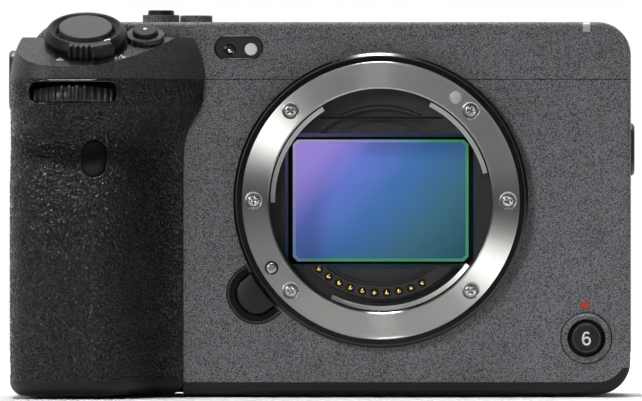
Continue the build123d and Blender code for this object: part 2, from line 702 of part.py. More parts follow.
def release_button():
    """The lens release button, cut to the curve of the surround."""
    solid = front_plate(release_outline(0), FRONT_Y - 1.7, CHAMBER_Y)
    solid = solid - round_y(SURROUND_R + GAP, 0, LENS_HEIGHT, FLANGE_Y - 9, CHAMBER_Y + 9)
    outside = edges_at(solid, Axis.Y, FRONT_Y - 1.7)
    return fillet(outside, 0.4)


def lock_pin():
    x, z = on_lens(LOCK_ANGLE, SCREW_CIRCLE + 0.2)
    solid = round_y(LOCK_R, x, z, FLANGE_Y - 1.0, CHAMBER_Y + 1)
    return fillet(edges_at(solid, Axis.Y, FLANGE_Y - 1.0), 0.35)


def contact_block():
    end = CONTACT_START + CONTACT_STEP * (CONTACTS - 1)
    low = lens_sector(20.9, 17.0, CONTACT_START - 3.5, end + 3.5, CHAMBER_Y - 1.2, CHAMBER_Y)
    high = lens_sector(20.9, 17.9, CONTACT_START - 2.5, end + 2.5, CHAMBER_Y - 2.0, CHAMBER_Y)
    solid = low + high
    for x, z in contact_spots():
        solid -= round_y(CONTACT_R + RUN, x, z, CHAMBER_Y - 2.0, CHAMBER_Y)
    return solid


def contact_spots():
    return [on_lens(CONTACT_START + CONTACT_STEP * i, CONTACT_CIRCLE) for i in range(CONTACTS)]


def contact_pins():
    pins = []
    for x, z in contact_spots():
        pin = round_y(CONTACT_R, x, z, CHAMBER_Y - 2.7, CHAMBER_Y - 0.8)
        pins.append(fillet(edges_at(pin, Axis.Y, CHAMBER_Y - 2.7), 0.3))
    return pins


def light_chamber():
    """The black tunnel behind the mount, narrowing from round to the gate."""
    solid = lens_ring(CHAMBER_R + 3.6, 1, CHAMBER_Y, CHAMBER_Y + 1.2)
    solid += round_y(CHAMBER_R, 0, LENS_HEIGHT, CHAMBER_Y, GATE_Y)
    middle = Pos(0, LENS_HEIGHT)
    mouth = Plane.XZ.offset(-CHAMBER_Y) * middle * RectangleRounded(GATE_W + 1, GATE_H + 1.6, 4)
    gate = Plane.XZ.offset(CHAMBER_BACK) * middle * RectangleRounded(GATE_W, GATE_H, 1)
    solid -= loft([mouth, gate])
    solid -= lens_ring(18.9, 16.0, CHAMBER_Y, CHAMBER_Y + 1.5) - contact_seat()
    return solid - lock_hole()


def contact_seat():
    """The part of the chamber's face that carries the contact block."""
    end = CONTACT_START + CONTACT_STEP * (CONTACTS - 1)
    return lens_sector(24, 10, CONTACT_START - 12, end + 12, CHAMBER_Y, CHAMBER_Y + 2)


# Shutter and sensor

def centred(width, height, y0, y1, radius=0.8):
    """A rounded plate about the lens axis."""
    return front_plate(Pos(0, LENS_HEIGHT) * RectangleRounded(width, height, radius), y0, y1)


def blade_rest():
    """Height of the stacked blades' lower edge, below the gate."""
    return LENS_HEIGHT - GATE_H / 2 - GAP - BLADE_H


def shutter_frame():
    back = GATE_Y + SHUTTER_T
    low, high = blade_rest() - 1.2, LENS_HEIGHT + GATE_H / 2 + 3.0
    solid = block(-GATE_W / 2 - 5, GATE_W / 2 + 5, GATE_Y, back, low, high)
    solid -= centred(GATE_W, GATE_H, GATE_Y, back)
    plate = (SHUTTER_T - 3 * BLADE_PITCH - BLADE_GAP) / 2
    return solid - block(
        -GATE_W / 2 - 3, GATE_W / 2 + 3, GATE_Y + plate, back - plate, blade_rest() - 0.3, high - 1.2
    )


def shutter_blade(index):
    """One blade, with the rivet tabs of its drive arm at the left end."""
    plate = (SHUTTER_T - 3 * BLADE_PITCH - BLADE_GAP) / 2
    y = GATE_Y + plate + BLADE_GAP + BLADE_PITCH * index
    low = blade_rest()
    solid = block(-GATE_W / 2 - 2.7, GATE_W / 2 + 2.7, y, y + BLADE_T, low, low + BLADE_H)
    cut = block(GATE_W / 2 + 0.8, GATE_W / 2 + 3, y, y + BLADE_T, low, low + BLADE_H * 0.45)
    return solid - cut


def stabilizer_base():
    """Fixed plate behind the sensor, on posts that reach the shutter frame and the board."""
    back = STAGE_Y + STAGE_T
    solid = centred(GATE_W + 10, GATE_H + 18, STAGE_Y, back, 3)
    solid -= centred(GATE_W - 14, GATE_H - 10, STAGE_Y, back, 2)
    for x in (-GATE_W / 2 - 3.6, GATE_W / 2 + 3.6):
        for z in (LENS_HEIGHT - GATE_H / 2 - 6.5, LENS_HEIGHT + GATE_H / 2 + 1.6):
            solid += round_y(POST_R, x, z, GATE_Y + SHUTTER_T, STAGE_Y)
            solid += round_y(POST_R, x, z, back, BOARD_Y)
    return solid


def stabilizer_slide():
    """Frame that carries the sensor and moves it sideways."""
    back = SLIDE_Y + SLIDE_T
    solid = centred(GATE_W - 2.0, GATE_H + 3.6, SLIDE_Y, back, 2)
    return solid - centred(GATE_W - 16, GATE_H - 12, SLIDE_Y, back, 2)


def sensor_carrier():
    """Frame under the sensor that moves it up and down."""
    solid = centred(SENSOR_W + 1.6, SENSOR_H + 1.6, CARRIER_Y, HUB_Y, 1.2)
    return solid + centred(SENSOR_W - 6, SENSOR_H - 6, HUB_Y, HUB_Y + HUB_T, 1.2)


def image_sensor():
    return centred(SENSOR_W, SENSOR_H, SENSOR_Y, SENSOR_Y + SENSOR_T, 0.5)


# Electronics and cooling

def main_board():
    """Board behind the stabiliser, with its processor and its memory."""
    solid = block(-BOARD_LEFT, BOARD_RIGHT, BOARD_Y, SINK_Y, BOARD_LOW, BOARD_TOP)
    notch = BOARD_TOP - 2 * BOARD_NOTCH
    solid -= block(-BOARD_LEFT, -BOARD_LEFT + BOARD_NOTCH, BOARD_Y, SINK_Y, notch, BOARD_TOP)
    for x, rise, side in CHIPS:
        z = LENS_HEIGHT + rise
        solid += block(x - side / 2, x + side / 2, BOARD_Y - CHIP_T, BOARD_Y, z - side / 2, z + side / 2)
    return solid


def heat_sink():
    """Finned plate between the board and the fan."""
    low, high = BOARD_LOW + SINK_MARGIN, BOARD_TOP - SINK_MARGIN
    left = FAN_X - SINK_W / 2
    solid = block(left, left + SINK_W, SINK_Y, SINK_Y + SINK_T, low, high)
    for row in range(FINS):
        x = left + FIN_T + FIN_PITCH * row
        solid += block(x, x + FIN_T, SINK_Y + SINK_T - 0.2, FAN_Y, low, high)
    return solid


def fan_frame():
    """Square frame with its air inlet, a bar across it and the fan's pin."""
    half = FAN_SIDE / 2
    back = FAN_Y + FAN_T
    plate = FAN_Y + FAN_WALL
    solid = block(FAN_X - half, FAN_X + half, FAN_Y, back, FAN_HEIGHT - half, FAN_HEIGHT + half)
    solid -= round_y(FAN_R + 0.6, FAN_X, FAN_HEIGHT, plate, back)
    solid -= round_y(FAN_R - 5, FAN_X, FAN_HEIGHT, FAN_Y, plate)
    reach = FAN_R - 3
    solid += block(FAN_X - 1.6, FAN_X + 1.6, FAN_Y, plate, FAN_HEIGHT - reach, FAN_HEIGHT + reach)
    return solid + round_y(FAN_PIN_R, FAN_X, FAN_HEIGHT, plate, back - 2.4)


def fan_rotor():
    """Hub with raked blades, running on the frame's pin."""
    y0, y1 = FAN_Y + FAN_WALL + GAP, FAN_Y + FAN_T - 1.4
    hub = round_y(FAN_HUB_R, FAN_X, FAN_HEIGHT, y0, y1)
    hub -= round_y(FAN_PIN_R + RUN, FAN_X, FAN_HEIGHT, y0, y1 - 0.7)
    length = FAN_R - FAN_HUB_R + 0.4
    for index in range(FAN_BLADES):
        turn = Pos(FAN_X, FAN_HEIGHT) * Rot(0, 0, 360 / FAN_BLADES * index)
        vane = turn * Pos(FAN_HUB_R - 0.7 + length / 2, 0) * Rot(0, 0, 18) * Rectangle(length, 0.9)
        hub += front_plate(vane, y0 + 0.3, y1 - 0.2)
    return hub


# Battery, cards and ports

def battery():
    solid = battery_bay(0) - block(-GRIP_SIDE, 0, FRONT_Y - 9, REAR_DEPTH, -1, BASE + DOOR_GAP)
    return fillet(solid.edges().filter_by(Axis.Z), 1.2)


def battery_hinge_y():
    return BATTERY_REAR + 1.0


def door_half():
    """Half the width of the battery door."""
    return BATTERY_W / 2 + 0.8


def battery_door():
    """Door in the base, hinged at its rear edge, with a recess for its latch."""
    x, y = door_half(), BATTERY_L / 2 + DOOR_LAP
    hinge = battery_hinge_y()
    solid = block(BATTERY_X - x, BATTERY_X + x, BATTERY_Y - y, hinge, 0, DOOR_T)
    solid += round_x(DOOR_T / 2, hinge, DOOR_T / 2, BATTERY_X - x, BATTERY_X + x)
    solid += round_x(PIN_R, hinge, DOOR_T / 2, BATTERY_X - x - PIN_L, BATTERY_X + x + PIN_L)
    return solid - block(BATTERY_X - 5.2, BATTERY_X + 5.2, BATTERY_Y - y + 1.5, BATTERY_Y - y + 6, 0, 0.8)


def battery_latch():
    y = BATTERY_Y - BATTERY_L / 2 - DOOR_LAP
    return block(BATTERY_X - 3.2, BATTERY_X + 3.2, y + 1.8, y + 5.7, 0.1, 0.75)


def side_door(outer, inward, low, high):
    """A thin door in a side wall, hinged about a pin along its rear edge."""
    hinge = outer + inward * DOOR_T / 2
    x0, x1 = sorted((outer, outer + inward * DOOR_T))
    solid = block(x0, x1, CARD_Y0 + DOOR_GAP, CARD_Y1, low + DOOR_GAP, high - DOOR_GAP)
    solid += round_z(DOOR_T / 2, hinge, CARD_Y1, low + DOOR_GAP, high - DOOR_GAP)
    reach = PIN_L - DOOR_GAP
    solid += round_z(PIN_R, hinge, CARD_Y1, low - reach, high + reach)
    return solid


def card_slots():
    """Holder with two card slots that open to the side."""
    x0 = -REAR_LEFT + WALL + 0.6
    y0, y1 = battery_back() + 0.2, REAR_DEPTH - WALL - 1.2
    solid = block(x0, x0 + CARD_L + 2, y0, y1, CARD_Z0 + 1, CARD_Z1 - 1)
    middle, third = (y0 + y1) / 2, (CARD_Z1 - CARD_Z0) / 4
    for z in (CARD_Z0 + third, CARD_Z1 - third):
        solid -= block(
            x0, x0 + CARD_L, middle - CARD_T / 2, middle + CARD_T / 2, z - CARD_W / 2, z + CARD_W / 2
        )
    return solid


def battery_back():
    """Depth of the wall behind the battery."""
    return BATTERY_REAR + WALL


def port_block():
    """Sockets behind the right-hand door."""
    x1 = BODY_RIGHT - WALL - 0.6
    solid = block(x1 - 9, x1, CARD_Y0, CARD_Y1, PORT_Z0 + 1, PORT_Z1 - 1)
    y = (CARD_Y0 + CARD_Y1) / 2
    for z in (PORT_Z0 + 6, PORT_Z0 + 14):
        solid -= block(x1 - 6, x1, y - 1.6, y + 1.6, z - 2.6, z + 2.6)
    for z in (PORT_Z0 + 21, PORT_Z0 + 27):
        solid -= round_x(1.75, y, z, x1 - 6, x1)
    return solid


# Windows, lamp and fixings

def window_outline():
    return Pos(WINDOW_X, WINDOW_HEIGHT) * SlotOverall(WINDOW_W, WINDOW_H)


def front_window():
    return front_plate(window_outline(), FRONT_Y + 0.35, CHAMBER_Y)


def tally_block():
    """Light guide that wraps over the front top edge."""
    half = TALLY_W / 2
    corner = block(
        TALLY_X - half, TALLY_X + half, FRONT_Y, CHAMBER_Y + 1, BODY_HEIGHT - TALLY_H, BODY_HEIGHT
    )
    return corner & body_block(BODY_LEFT)


def threaded(radius, length, plane):
    """A round insert with a blind thread bore from its face."""
    solid = extrude(plane * Circle(radius), -length)
    return solid - extrude(plane * Circle(THREAD_R), -THREAD_DEPTH)


def thread_inserts():
    length = THREAD_DEPTH + 1.2
    inserts = [threaded(TRIPOD_R, length, Plane(origin=(0, 0, 0), z_dir=(0, 0, -1)))]
    for x, y in INSERT_SPOTS:
        inserts.append(threaded(INSERT_R, length, Plane(origin=(x, y, BODY_HEIGHT), z_dir=(0, 0, 1))))
    return inserts


def lug_body(side):
    """Outer form of the threaded lug on the left or right side wall."""
    outer = BODY_RIGHT if side > 0 else GRIP_SIDE
    height = RIGHT_LUG_HEIGHT if side > 0 else LEFT_LUG_HEIGHT
    width = RIGHT_LUG_W if side > 0 else LEFT_LUG_W
    face = Plane(origin=(side * (outer + LUG_PROUD), LUG_Y, height), x_dir=(0, 1, 0), z_dir=(side, 0, 0))
    return extrude(face * RectangleRounded(width, width, LUG_CORNER), -THREAD_DEPTH - 1.2)


def side_lugs():
    lugs = []
    for side, outer, height in ((-1, GRIP_SIDE, LEFT_LUG_HEIGHT), (1, BODY_RIGHT, RIGHT_LUG_HEIGHT)):
        x = side * (outer + LUG_PROUD)
        lug = chamfer(edges_at(lug_body(side), Axis.X, x), 0.4)
        face = Plane(origin=(x, LUG_Y, height), x_dir=(0, 1, 0), z_dir=(side, 0, 0))
        lugs.append(lug - extrude(face * Circle(THREAD_R), -THREAD_DEPTH))
    return lugs


def accessory_shoe():
    """Shoe set flush into the top, with two lips over its groove."""
    y0, y1 = SHOE_Y - SHOE_L / 2, SHOE_Y + SHOE_L / 2
    low = BODY_HEIGHT - SHOE_H
    solid = block(-SHOE_W / 2, SHOE_W / 2, y0, y1, low, BODY_HEIGHT)
    y0, low = y0 + WALL, low + SHOE_FLOOR
    solid -= block(-SHOE_GROOVE / 2, SHOE_GROOVE / 2, y0, y1, low, BODY_HEIGHT - SHOE_LIP)
    return solid - block(-SHOE_MOUTH / 2, SHOE_MOUTH / 2, y0, y1, low, BODY_HEIGHT)


def foot_spots():
    """Plan of the four feet: one in front of the battery door, one behind it, two on the right."""
    door_front = BATTERY_Y - BATTERY_L / 2 - DOOR_LAP
    left = [(FOOT_LEFT, door_front - FOOT_D), (FOOT_LEFT, FOOT_REAR)]
    return left + [(FOOT_RIGHT, y) for y in RIGHT_FEET]


def foot_strip(x, y):
    shape = Pos(x, y) * SlotOverall(FOOT_W, FOOT_D)
    return plan_plate(shape, -FOOT_PROUD, FOOT_PROUD + 0.1)


def feet():
    return [foot_strip(x, y) for x, y in foot_spots()]


# Controls

def zoom_lever():
    """Ring round the release button, with a ribbed lever at the front."""
    base = deck_plane(DIAL_BEHIND, DIAL_X, RING_LIFT + 0.15)
    solid = extrude(base * Circle(DIAL_R), RING_T)
    solid = fillet(solid.edges().filter_by(GeomType.CIRCLE).sort_by(Axis.Z)[-1], 0.5)
    solid -= extrude(base * Circle(RELEASE_DISC_R + GAP), RING_T + 1)
    low = deck_plane(DIAL_BEHIND, DIAL_X, 0.25)
    middle = -90 + LEVER_TURN
    wedge = [(0, 0)]
    for turn in (-LEVER_HALF, -LEVER_HALF / 2, 0, LEVER_HALF / 2, LEVER_HALF):
        angle = radians(middle + turn)
        wedge.append((14 * cos(angle), 14 * sin(angle)))
    sector = Circle(LEVER_R) - Circle(COLLAR_R + GAP)
    sector &= make_face(Polyline(*wedge, close=True))
    lever = extrude(low * sector, RING_LIFT + RING_T - 0.1)
    for index in range(9):
        angle = radians(middle - 27 + 6.75 * index)
        groove = Pos(LEVER_R * cos(angle), LEVER_R * sin(angle)) * Circle(0.36)
        lever -= extrude(low * groove, RING_T + RING_LIFT)
    return solid + lever


def disc_button():
    """The release button in the middle of the zoom ring, on its stem."""
    base = deck_plane(DIAL_BEHIND, DIAL_X, RING_LIFT + 0.15 + BUTTON_TRAVEL + 0.2)
    solid = extrude(base * Circle(RELEASE_DISC_R), RING_T + 0.1)
    solid = fillet(solid.edges().filter_by(GeomType.CIRCLE).sort_by(Axis.Z)[-1], 0.4)
    return solid + extrude(base * Circle(RELEASE_DISC_R * 0.4), -2.6)


def top_button():
    base = deck_plane(TOP_BUTTON_BEHIND, TOP_BUTTON_X, -0.6)
    solid = extrude(base * Circle(TOP_BUTTON_R), 2.9)
    return fillet(solid.edges().filter_by(GeomType.CIRCLE).sort_by(Axis.Z)[-1], 0.35)


def front_dial():
    place = wheel_place()
    solid = extrude(place * ribbed(WHEEL_R, WHEEL_RIBS, 0.45), WHEEL_T / 2, both=True)
    return solid - extrude(place * Circle(AXLE_R + RUN), WHEEL_T / 2, both=True)


def dial_axle():
    """Axle of the front dial, part of the grip core."""
    return extrude(wheel_place() * Circle(AXLE_R), WHEEL_T / 2 + 1.0, both=True)


def rear_dial():
    outline = Pos(REAR_DIAL_X, rear_dial_y()) * ribbed(REAR_DIAL_R, 36, 0.4)
    solid = plan_plate(outline, REAR_DIAL_HEIGHT - REAR_DIAL_T / 2, REAR_DIAL_HEIGHT + REAR_DIAL_T / 2)
    return solid - round_z(AXLE_R + RUN, REAR_DIAL_X, rear_dial_y(), TOP_SEAM, BODY_HEIGHT)


def rear_dial_axle():
    """Post of the rear dial, hanging from the top wall."""
    low = REAR_DIAL_HEIGHT - REAR_DIAL_T / 2 - 0.6
    return round_z(AXLE_R, REAR_DIAL_X, rear_dial_y(), low, BODY_HEIGHT - WALL)


def control_wheel():
    outline = Pos(REAR_WHEEL_X, REAR_WHEEL_HEIGHT) * ribbed(REAR_WHEEL_R, 48, 0.3)
    y = REAR_DEPTH - WALL / 2 + 0.1
    solid = front_plate(outline, y, REAR_DEPTH + 1.4)
    return solid - round_y(CENTER_R + GAP, REAR_WHEEL_X, REAR_WHEEL_HEIGHT, y, REAR_DEPTH + 2)


def center_button():
    head = round_y(CENTER_R, REAR_WHEEL_X, REAR_WHEEL_HEIGHT, REAR_DEPTH - WALL, REAR_DEPTH + 1.7)
    return fillet(edges_at(head, Axis.Y, REAR_DEPTH + 1.7), 0.4)


def joystick():
    """Domed cap on a short stem."""
    solid = round_y(STICK_R, STICK_X, STICK_HEIGHT, REAR_DEPTH + 0.9, REAR_DEPTH + 2.6)
    solid = fillet(edges_at(solid, Axis.Y, REAR_DEPTH + 2.6), 0.9)
    return solid + round_y(1.2, STICK_X, STICK_HEIGHT, REAR_DEPTH - WALL - 0.6, REAR_DEPTH + 0.9)


def joystick_yoke():
    """Swinging ring under the stick, which lets it tilt sideways."""
    y0, y1 = REAR_DEPTH - WALL - 1.2, REAR_DEPTH - WALL
    solid = round_y(STICK_R, STICK_X, STICK_HEIGHT, y0, y1)
    return solid - block(
        STICK_X - 1.5, STICK_X + 1.5, y0, y1, STICK_HEIGHT - 2.2, STICK_HEIGHT + 2.2
    )


def rear_button(x, z):
    solid = round_y(REAR_BUTTON_R, x, z, REAR_DEPTH - WALL, REAR_DEPTH + 0.9)
    return fillet(edges_at(solid, Axis.Y, REAR_DEPTH + 0.9), 0.3)


def rec_collar():
    """Grey collar round the front record button."""
    y = FRONT_Y - 1.1
    solid = round_y(REC_COLLAR_R, REC_X, REC_HEIGHT, y, CHAMBER_Y)
    solid = chamfer(edges_at(solid, Axis.Y, y), 0.5)
    solid -= round_y(REC_R + 0.75, REC_X, REC_HEIGHT, y, y + 0.9)
    return solid - round_y(REC_R + RUN, REC_X, REC_HEIGHT, y, CHAMBER_Y)


def record_button_front():
    solid = round_y(REC_R, REC_X, REC_HEIGHT, FRONT_Y - 1.3, CHAMBER_Y)
    return fillet(edges_at(solid, Axis.Y, FRONT_Y - 1.3), 0.4)


def record_button_top():
    top = BODY_HEIGHT + TOP_PLATE_H + 1.0
    solid = round_z(TOP_REC_R, TOP_REC_X, TOP_REC_Y, BODY_HEIGHT - WALL, top)
    return fillet(edges_at(solid, Axis.Z, top), 0.3)


def power_switch():
    """Low round switch that turns on a stem."""
    low = BODY_HEIGHT + 0.15
    solid = round_z(SWITCH_R, SWITCH_X, SWITCH_Y, low, low + SWITCH_H)
    solid = fillet(edges_at(solid, Axis.Z, low + SWITCH_H), 0.3)
    return solid + round_z(SWITCH_R * 0.5, SWITCH_X, SWITCH_Y, BODY_HEIGHT - WALL, low)


# Monitor

def monitor_arm():
    middle = MONITOR_LOW + MONITOR_H / 2
    y = REAR_DEPTH + HINGE_BEHIND
    low, high = middle - ARM_H / 2 + GAP, middle + ARM_H / 2 - GAP
    solid = round_z(HINGE_R, HINGE_X, y, low, high)
    solid += block(MONITOR_RIGHT, HINGE_X, y - HINGE_R, y + HINGE_R, low, high)
    return solid + round_z(HINGE_PIN_R, HINGE_X, y, middle - ARM_H / 2 - EAR_T, middle + ARM_H / 2 + EAR_T)


def monitor_housing():
    x, z = MONITOR_RIGHT - MONITOR_W / 2, MONITOR_LOW + MONITOR_H / 2
    y0 = REAR_DEPTH + 0.6
    outline = Pos(x, z) * RectangleRounded(MONITOR_W, MONITOR_H, 3)
    solid = front_plate(outline, y0, y0 + MONITOR_T)
    solid = fillet(edges_at(solid, Axis.Y, y0 + MONITOR_T), 1.2)
    solid = fillet(edges_at(solid, Axis.Y, y0), 0.8)
    return solid - glass_plate(0.0)


def glass_plate(spread):
    x, z = MONITOR_RIGHT - MONITOR_W / 2, MONITOR_LOW + MONITOR_H / 2
    y1 = REAR_DEPTH + 0.6 + MONITOR_T
    outline = Pos(x, z) * RectangleRounded(MONITOR_W - 4, MONITOR_H - 4, 2)
    return front_plate(outline, y1 - 1.2, y1 - spread)


def build():
    """Every node of the camera, by name."""
    outer, inner = grip_form(), grip_form(SKIN)
    core = grip_core(inner) + (dial_axle() & inner)
    nodes = {
        "front_cover": front_cover(),
        "top_cover": top_cover() + rear_dial_axle(),
        "rear_cover": rear_cover(),
        "base_plate": base_plate(),
        "grip_core": core,
        "grip_skin": grip_skin(outer, inner),
        "grip_deck": grip_deck(),
        "mount_surround": mount_surround(),
        "mount_ring": mount_ring(),
        "mount_screws": mount_screws(),
        "bayonet_tabs": bayonet_tabs(),
        "lens_release_button": release_button(),
        "lock_pin": lock_pin(),
        "contact_block": contact_block(),
        "contact_pins": contact_pins(),
        "light_chamber": light_chamber(),
        "shutter_frame": shutter_frame(),
        "stabilizer_base": stabilizer_base(),
        "stabilizer_slide": stabilizer_slide(),
        "sensor_carrier": sensor_carrier(),
        "image_sensor": image_sensor(),
        "main_board": main_board(),
        "heat_sink": heat_sink(),
        "fan_frame": fan_frame(),
        "fan_rotor": fan_rotor(),
        "battery": battery(),
        "battery_door": battery_door(),
        "battery_latch": battery_latch(),
        "card_slots": card_slots(),
        "card_door": side_door(-REAR_LEFT, 1, CARD_Z0, CARD_Z1),
        "port_block": port_block(),
        "port_cover": side_door(BODY_RIGHT, -1, PORT_Z0, PORT_Z1),
        "front_window": front_window(),
        "remote_window": remote_prism() & (outer - inner),
        "tally_lamp": tally_block(),
        "thread_inserts": thread_inserts(),
        "side_lugs": side_lugs(),
        "accessory_shoe": accessory_shoe(),
        "feet": feet(),
        "zoom_lever": zoom_lever(),
        "release_button": disc_button(),
        "top_button": top_button(),
        "front_dial": front_dial(),
        "rear_dial": rear_dial(),
        "control_wheel": control_wheel(),
        "center_button": center_button(),
        "joystick": joystick(),
        "joystick_yoke": joystick_yoke(),
        "menu_button": rear_button(MENU_X, MENU_HEIGHT),
        "playback_button": rear_button(PLAY_X, PLAY_HEIGHT),
        "rec_collar": rec_collar(),
        "record_button_front": record_button_front(),
        "record_button_top": record_button_top(),
        "power_switch": power_switch(),
        "monitor_arm": monitor_arm(),
        "monitor_housing": monitor_housing(),
        "monitor_glass": glass_plate(0.25),
    }
    for index, name in enumerate(BLADES):
        nodes["shutter_blade_" + name] = shutter_blade(index)
    return nodes


def save(name, shape):
    """Write one node, as one solid or as a group of separate solids."""
    pieces = shape if isinstance(shape, list) else [shape]
    solids = [solid for piece in pieces for solid in piece.solids()]
    whole = solids[0] if len(solids) == 1 else Compound(children=solids)
    export_step(whole, os.path.join("parts", name + ".step"))
    return len(solids)


os.makedirs("parts", exist_ok=True)
NODES = build()
for node, form in NODES.items():
    print(node, save(node, form))
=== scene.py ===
# %% [markdown]
# # A cinema camera, dressed for its portrait
# The CAD model gives every piece its size and place. This script adds what CAD leaves out: leather grain,
# speckled paint, turned steel, screw recesses, threads, lenses and marks.
# Each step says what the piece is on the real object, how it could be made, and why it is made this way.

from math import asin, atan2, cos, degrees, exp, pi, radians, sin

import bmesh
import bpy
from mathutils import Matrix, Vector, noise

import json


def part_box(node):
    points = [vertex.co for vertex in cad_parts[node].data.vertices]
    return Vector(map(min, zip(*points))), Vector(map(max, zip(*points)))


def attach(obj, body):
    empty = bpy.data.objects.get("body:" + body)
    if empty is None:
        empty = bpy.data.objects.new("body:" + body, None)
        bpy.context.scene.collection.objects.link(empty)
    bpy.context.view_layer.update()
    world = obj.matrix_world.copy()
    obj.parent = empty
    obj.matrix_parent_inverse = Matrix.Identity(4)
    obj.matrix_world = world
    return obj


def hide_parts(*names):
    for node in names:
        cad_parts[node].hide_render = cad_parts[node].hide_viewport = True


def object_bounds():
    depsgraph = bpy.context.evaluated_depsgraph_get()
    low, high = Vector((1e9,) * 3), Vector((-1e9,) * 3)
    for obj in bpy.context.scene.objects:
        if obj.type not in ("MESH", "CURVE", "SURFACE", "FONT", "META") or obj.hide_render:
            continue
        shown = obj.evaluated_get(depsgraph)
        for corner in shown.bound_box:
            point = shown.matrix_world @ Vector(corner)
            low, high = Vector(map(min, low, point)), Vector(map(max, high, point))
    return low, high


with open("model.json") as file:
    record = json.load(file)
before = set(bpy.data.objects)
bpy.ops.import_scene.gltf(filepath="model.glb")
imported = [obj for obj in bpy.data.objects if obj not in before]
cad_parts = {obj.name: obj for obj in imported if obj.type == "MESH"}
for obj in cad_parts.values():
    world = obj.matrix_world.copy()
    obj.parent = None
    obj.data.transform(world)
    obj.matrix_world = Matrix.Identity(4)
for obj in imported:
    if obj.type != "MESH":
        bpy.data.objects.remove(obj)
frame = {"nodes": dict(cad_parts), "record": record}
cad_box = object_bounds()
nodes = frame["nodes"]
MM = 0.001
print("CAD nodes:", len(nodes), "box:", [[round(v, 4) for v in corner] for corner in cad_box])

# %% [markdown]
# ## Camera
# A product portrait is taken from a few metres away with a long lens, so its sides hardly converge.
# The body's outline in the picture fits a camera 2 m in front, level with the lens mount. The small shift
# to the side keeps the camera square to the front while the body sits off centre.

# %% Camera
LENS_Z = 40.0
LENS_AXIS = Vector((0.0, 0.0, LENS_Z * MM))
DISTANCE, FOCAL_LENGTH, SIDE_SHIFT = 2.0, 537.4, -0.093
camera_data = bpy.data.cameras.new("portrait")
camera_data.sensor_width = 36.0
camera_data.lens = FOCAL_LENGTH
camera_data.shift_x = SIDE_SHIFT
camera_data.clip_end = 50.0
camera = bpy.data.objects.new("portrait", camera_data)
camera.location = (0.0, -DISTANCE, LENS_AXIS.z)
camera.rotation_euler = (pi / 2, 0.0, 0.0)
bpy.context.collection.objects.link(camera)
bpy.context.scene.camera = camera
bpy.context.scene.view_settings.view_transform = "Standard"
print("camera at", tuple(camera.location), "lens", camera_data.lens, "mm")

# %% [markdown]
# ## Floor and light
# The camera stands on a sheet of white paper in front of a white surround. The surround is bright behind the
# camera and almost dark in front of it, so the front is lit by the lamps alone and the edges stay crisp. The
# key at the upper left shapes the grip and the steel ring, two weak lamps open the shadows, a strip grazes
# the left side, one overhead draws the top edges, and a wide one keeps the paper white. Each lamp has a grid
# that narrows its beam.

# %% Meshes from lists
def mesh_object(name, points, faces, smooth=True, unit=MM):
    """A mesh object from points, in millimetres unless told otherwise, and faces."""
    mesh = bpy.data.meshes.new(name)
    mesh.from_pydata([tuple(unit * v for v in p) for p in points], [], faces)
    mesh.validate()
    shape = bmesh.new()
    shape.from_mesh(mesh)
    bmesh.ops.recalc_face_normals(shape, faces=shape.faces)
    shape.to_mesh(mesh)
    shape.free()
    for polygon in mesh.polygons:
        polygon.use_smooth = smooth
    obj = bpy.data.objects.new(name, mesh)
    bpy.context.collection.objects.link(obj)
    return obj


def grid_faces(rows, columns, around=True, closed=False, first=0):
    """Faces of a grid of points, row after row; around joins its side edges, closed its first and last row."""
    faces = []
    for row in range(rows if closed else rows - 1):
        here, there = first + row * columns, first + (row + 1) % rows * columns
        for i in range(columns if around else columns - 1):
            j = (i + 1) % columns
            faces.append((here + i, there + i, there + j, here + j))
    return faces


print("faces of a tube of 4 by 8 points:", len(grid_faces(4, 8)))

# %% Nodes and links
def add_node(tree, kind, x, y, inputs=None, **settings):
    """A node at a place in the editor, with its properties and the values of its inputs set."""
    node = tree.nodes.new(kind)
    node.location = (x, y)
    for key, value in settings.items():
        setattr(node, key, value)
    for socket, value in (inputs or {}).items():
        node.inputs[socket].default_value = value
    return node


def wire(tree, *links):
    """Links outputs to inputs, each link given as (node, output, node, input)."""
    for source, output, target, socket in links:
        tree.links.new(source.outputs[output], target.inputs[socket])


print("node helpers ready")

# %% Paper sheet
FLOOR_Z = cad_box[0][2]
HALF_WIDTH, NEAR_EDGE, FAR_EDGE = 1.3, -1.2, 0.58
corners = ((-HALF_WIDTH, NEAR_EDGE), (HALF_WIDTH, NEAR_EDGE), (HALF_WIDTH, FAR_EDGE), (-HALF_WIDTH, FAR_EDGE))
sheet = mesh_object("paper_sheet", [(x, y, FLOOR_Z) for x, y in corners], [(0, 1, 2, 3)], unit=1.0)
print("paper at z =", round(FLOOR_Z, 4))


# %% Softboxes
BODY_MIDDLE = (-0.01, -0.01, 0.04)


def softbox(name, place, size, power, spread, aim=BODY_MIDDLE):
    """A rectangular lamp with a grid that narrows its beam to an angle; it faces a point."""
    data = bpy.data.lights.new(name, "AREA")
    data.shape = "RECTANGLE"
    data.size, data.size_y = size
    data.energy = power
    data.spread = radians(spread)
    light = bpy.data.objects.new(name, data)
    light.location = place
    light.rotation_euler = (Vector(aim) - Vector(place)).to_track_quat("-Z", "Y").to_euler()
    bpy.context.collection.objects.link(light)


softbox("key", (-0.78, -1.28, 0.52), (0.35, 0.90), 0.42, 20)
softbox("front", (-0.55, -1.8, 0.42), (0.5, 0.4), 0.010, 25)
softbox("fill", (1.0, -1.3, 0.35), (0.6, 0.6), 0.018, 25)
softbox("overhead", (-0.05, -0.06, 1.1), (0.5, 0.3), 0.42, 18)
softbox("left_strip", (-1.1, -0.1, 0.15), (0.25, 0.9), 0.04, 25)
softbox("floor_wash", (0.0, 0.45, 0.8), (2.0, 0.3), 12.0, 50, (0.0, 0.40, 0.0))

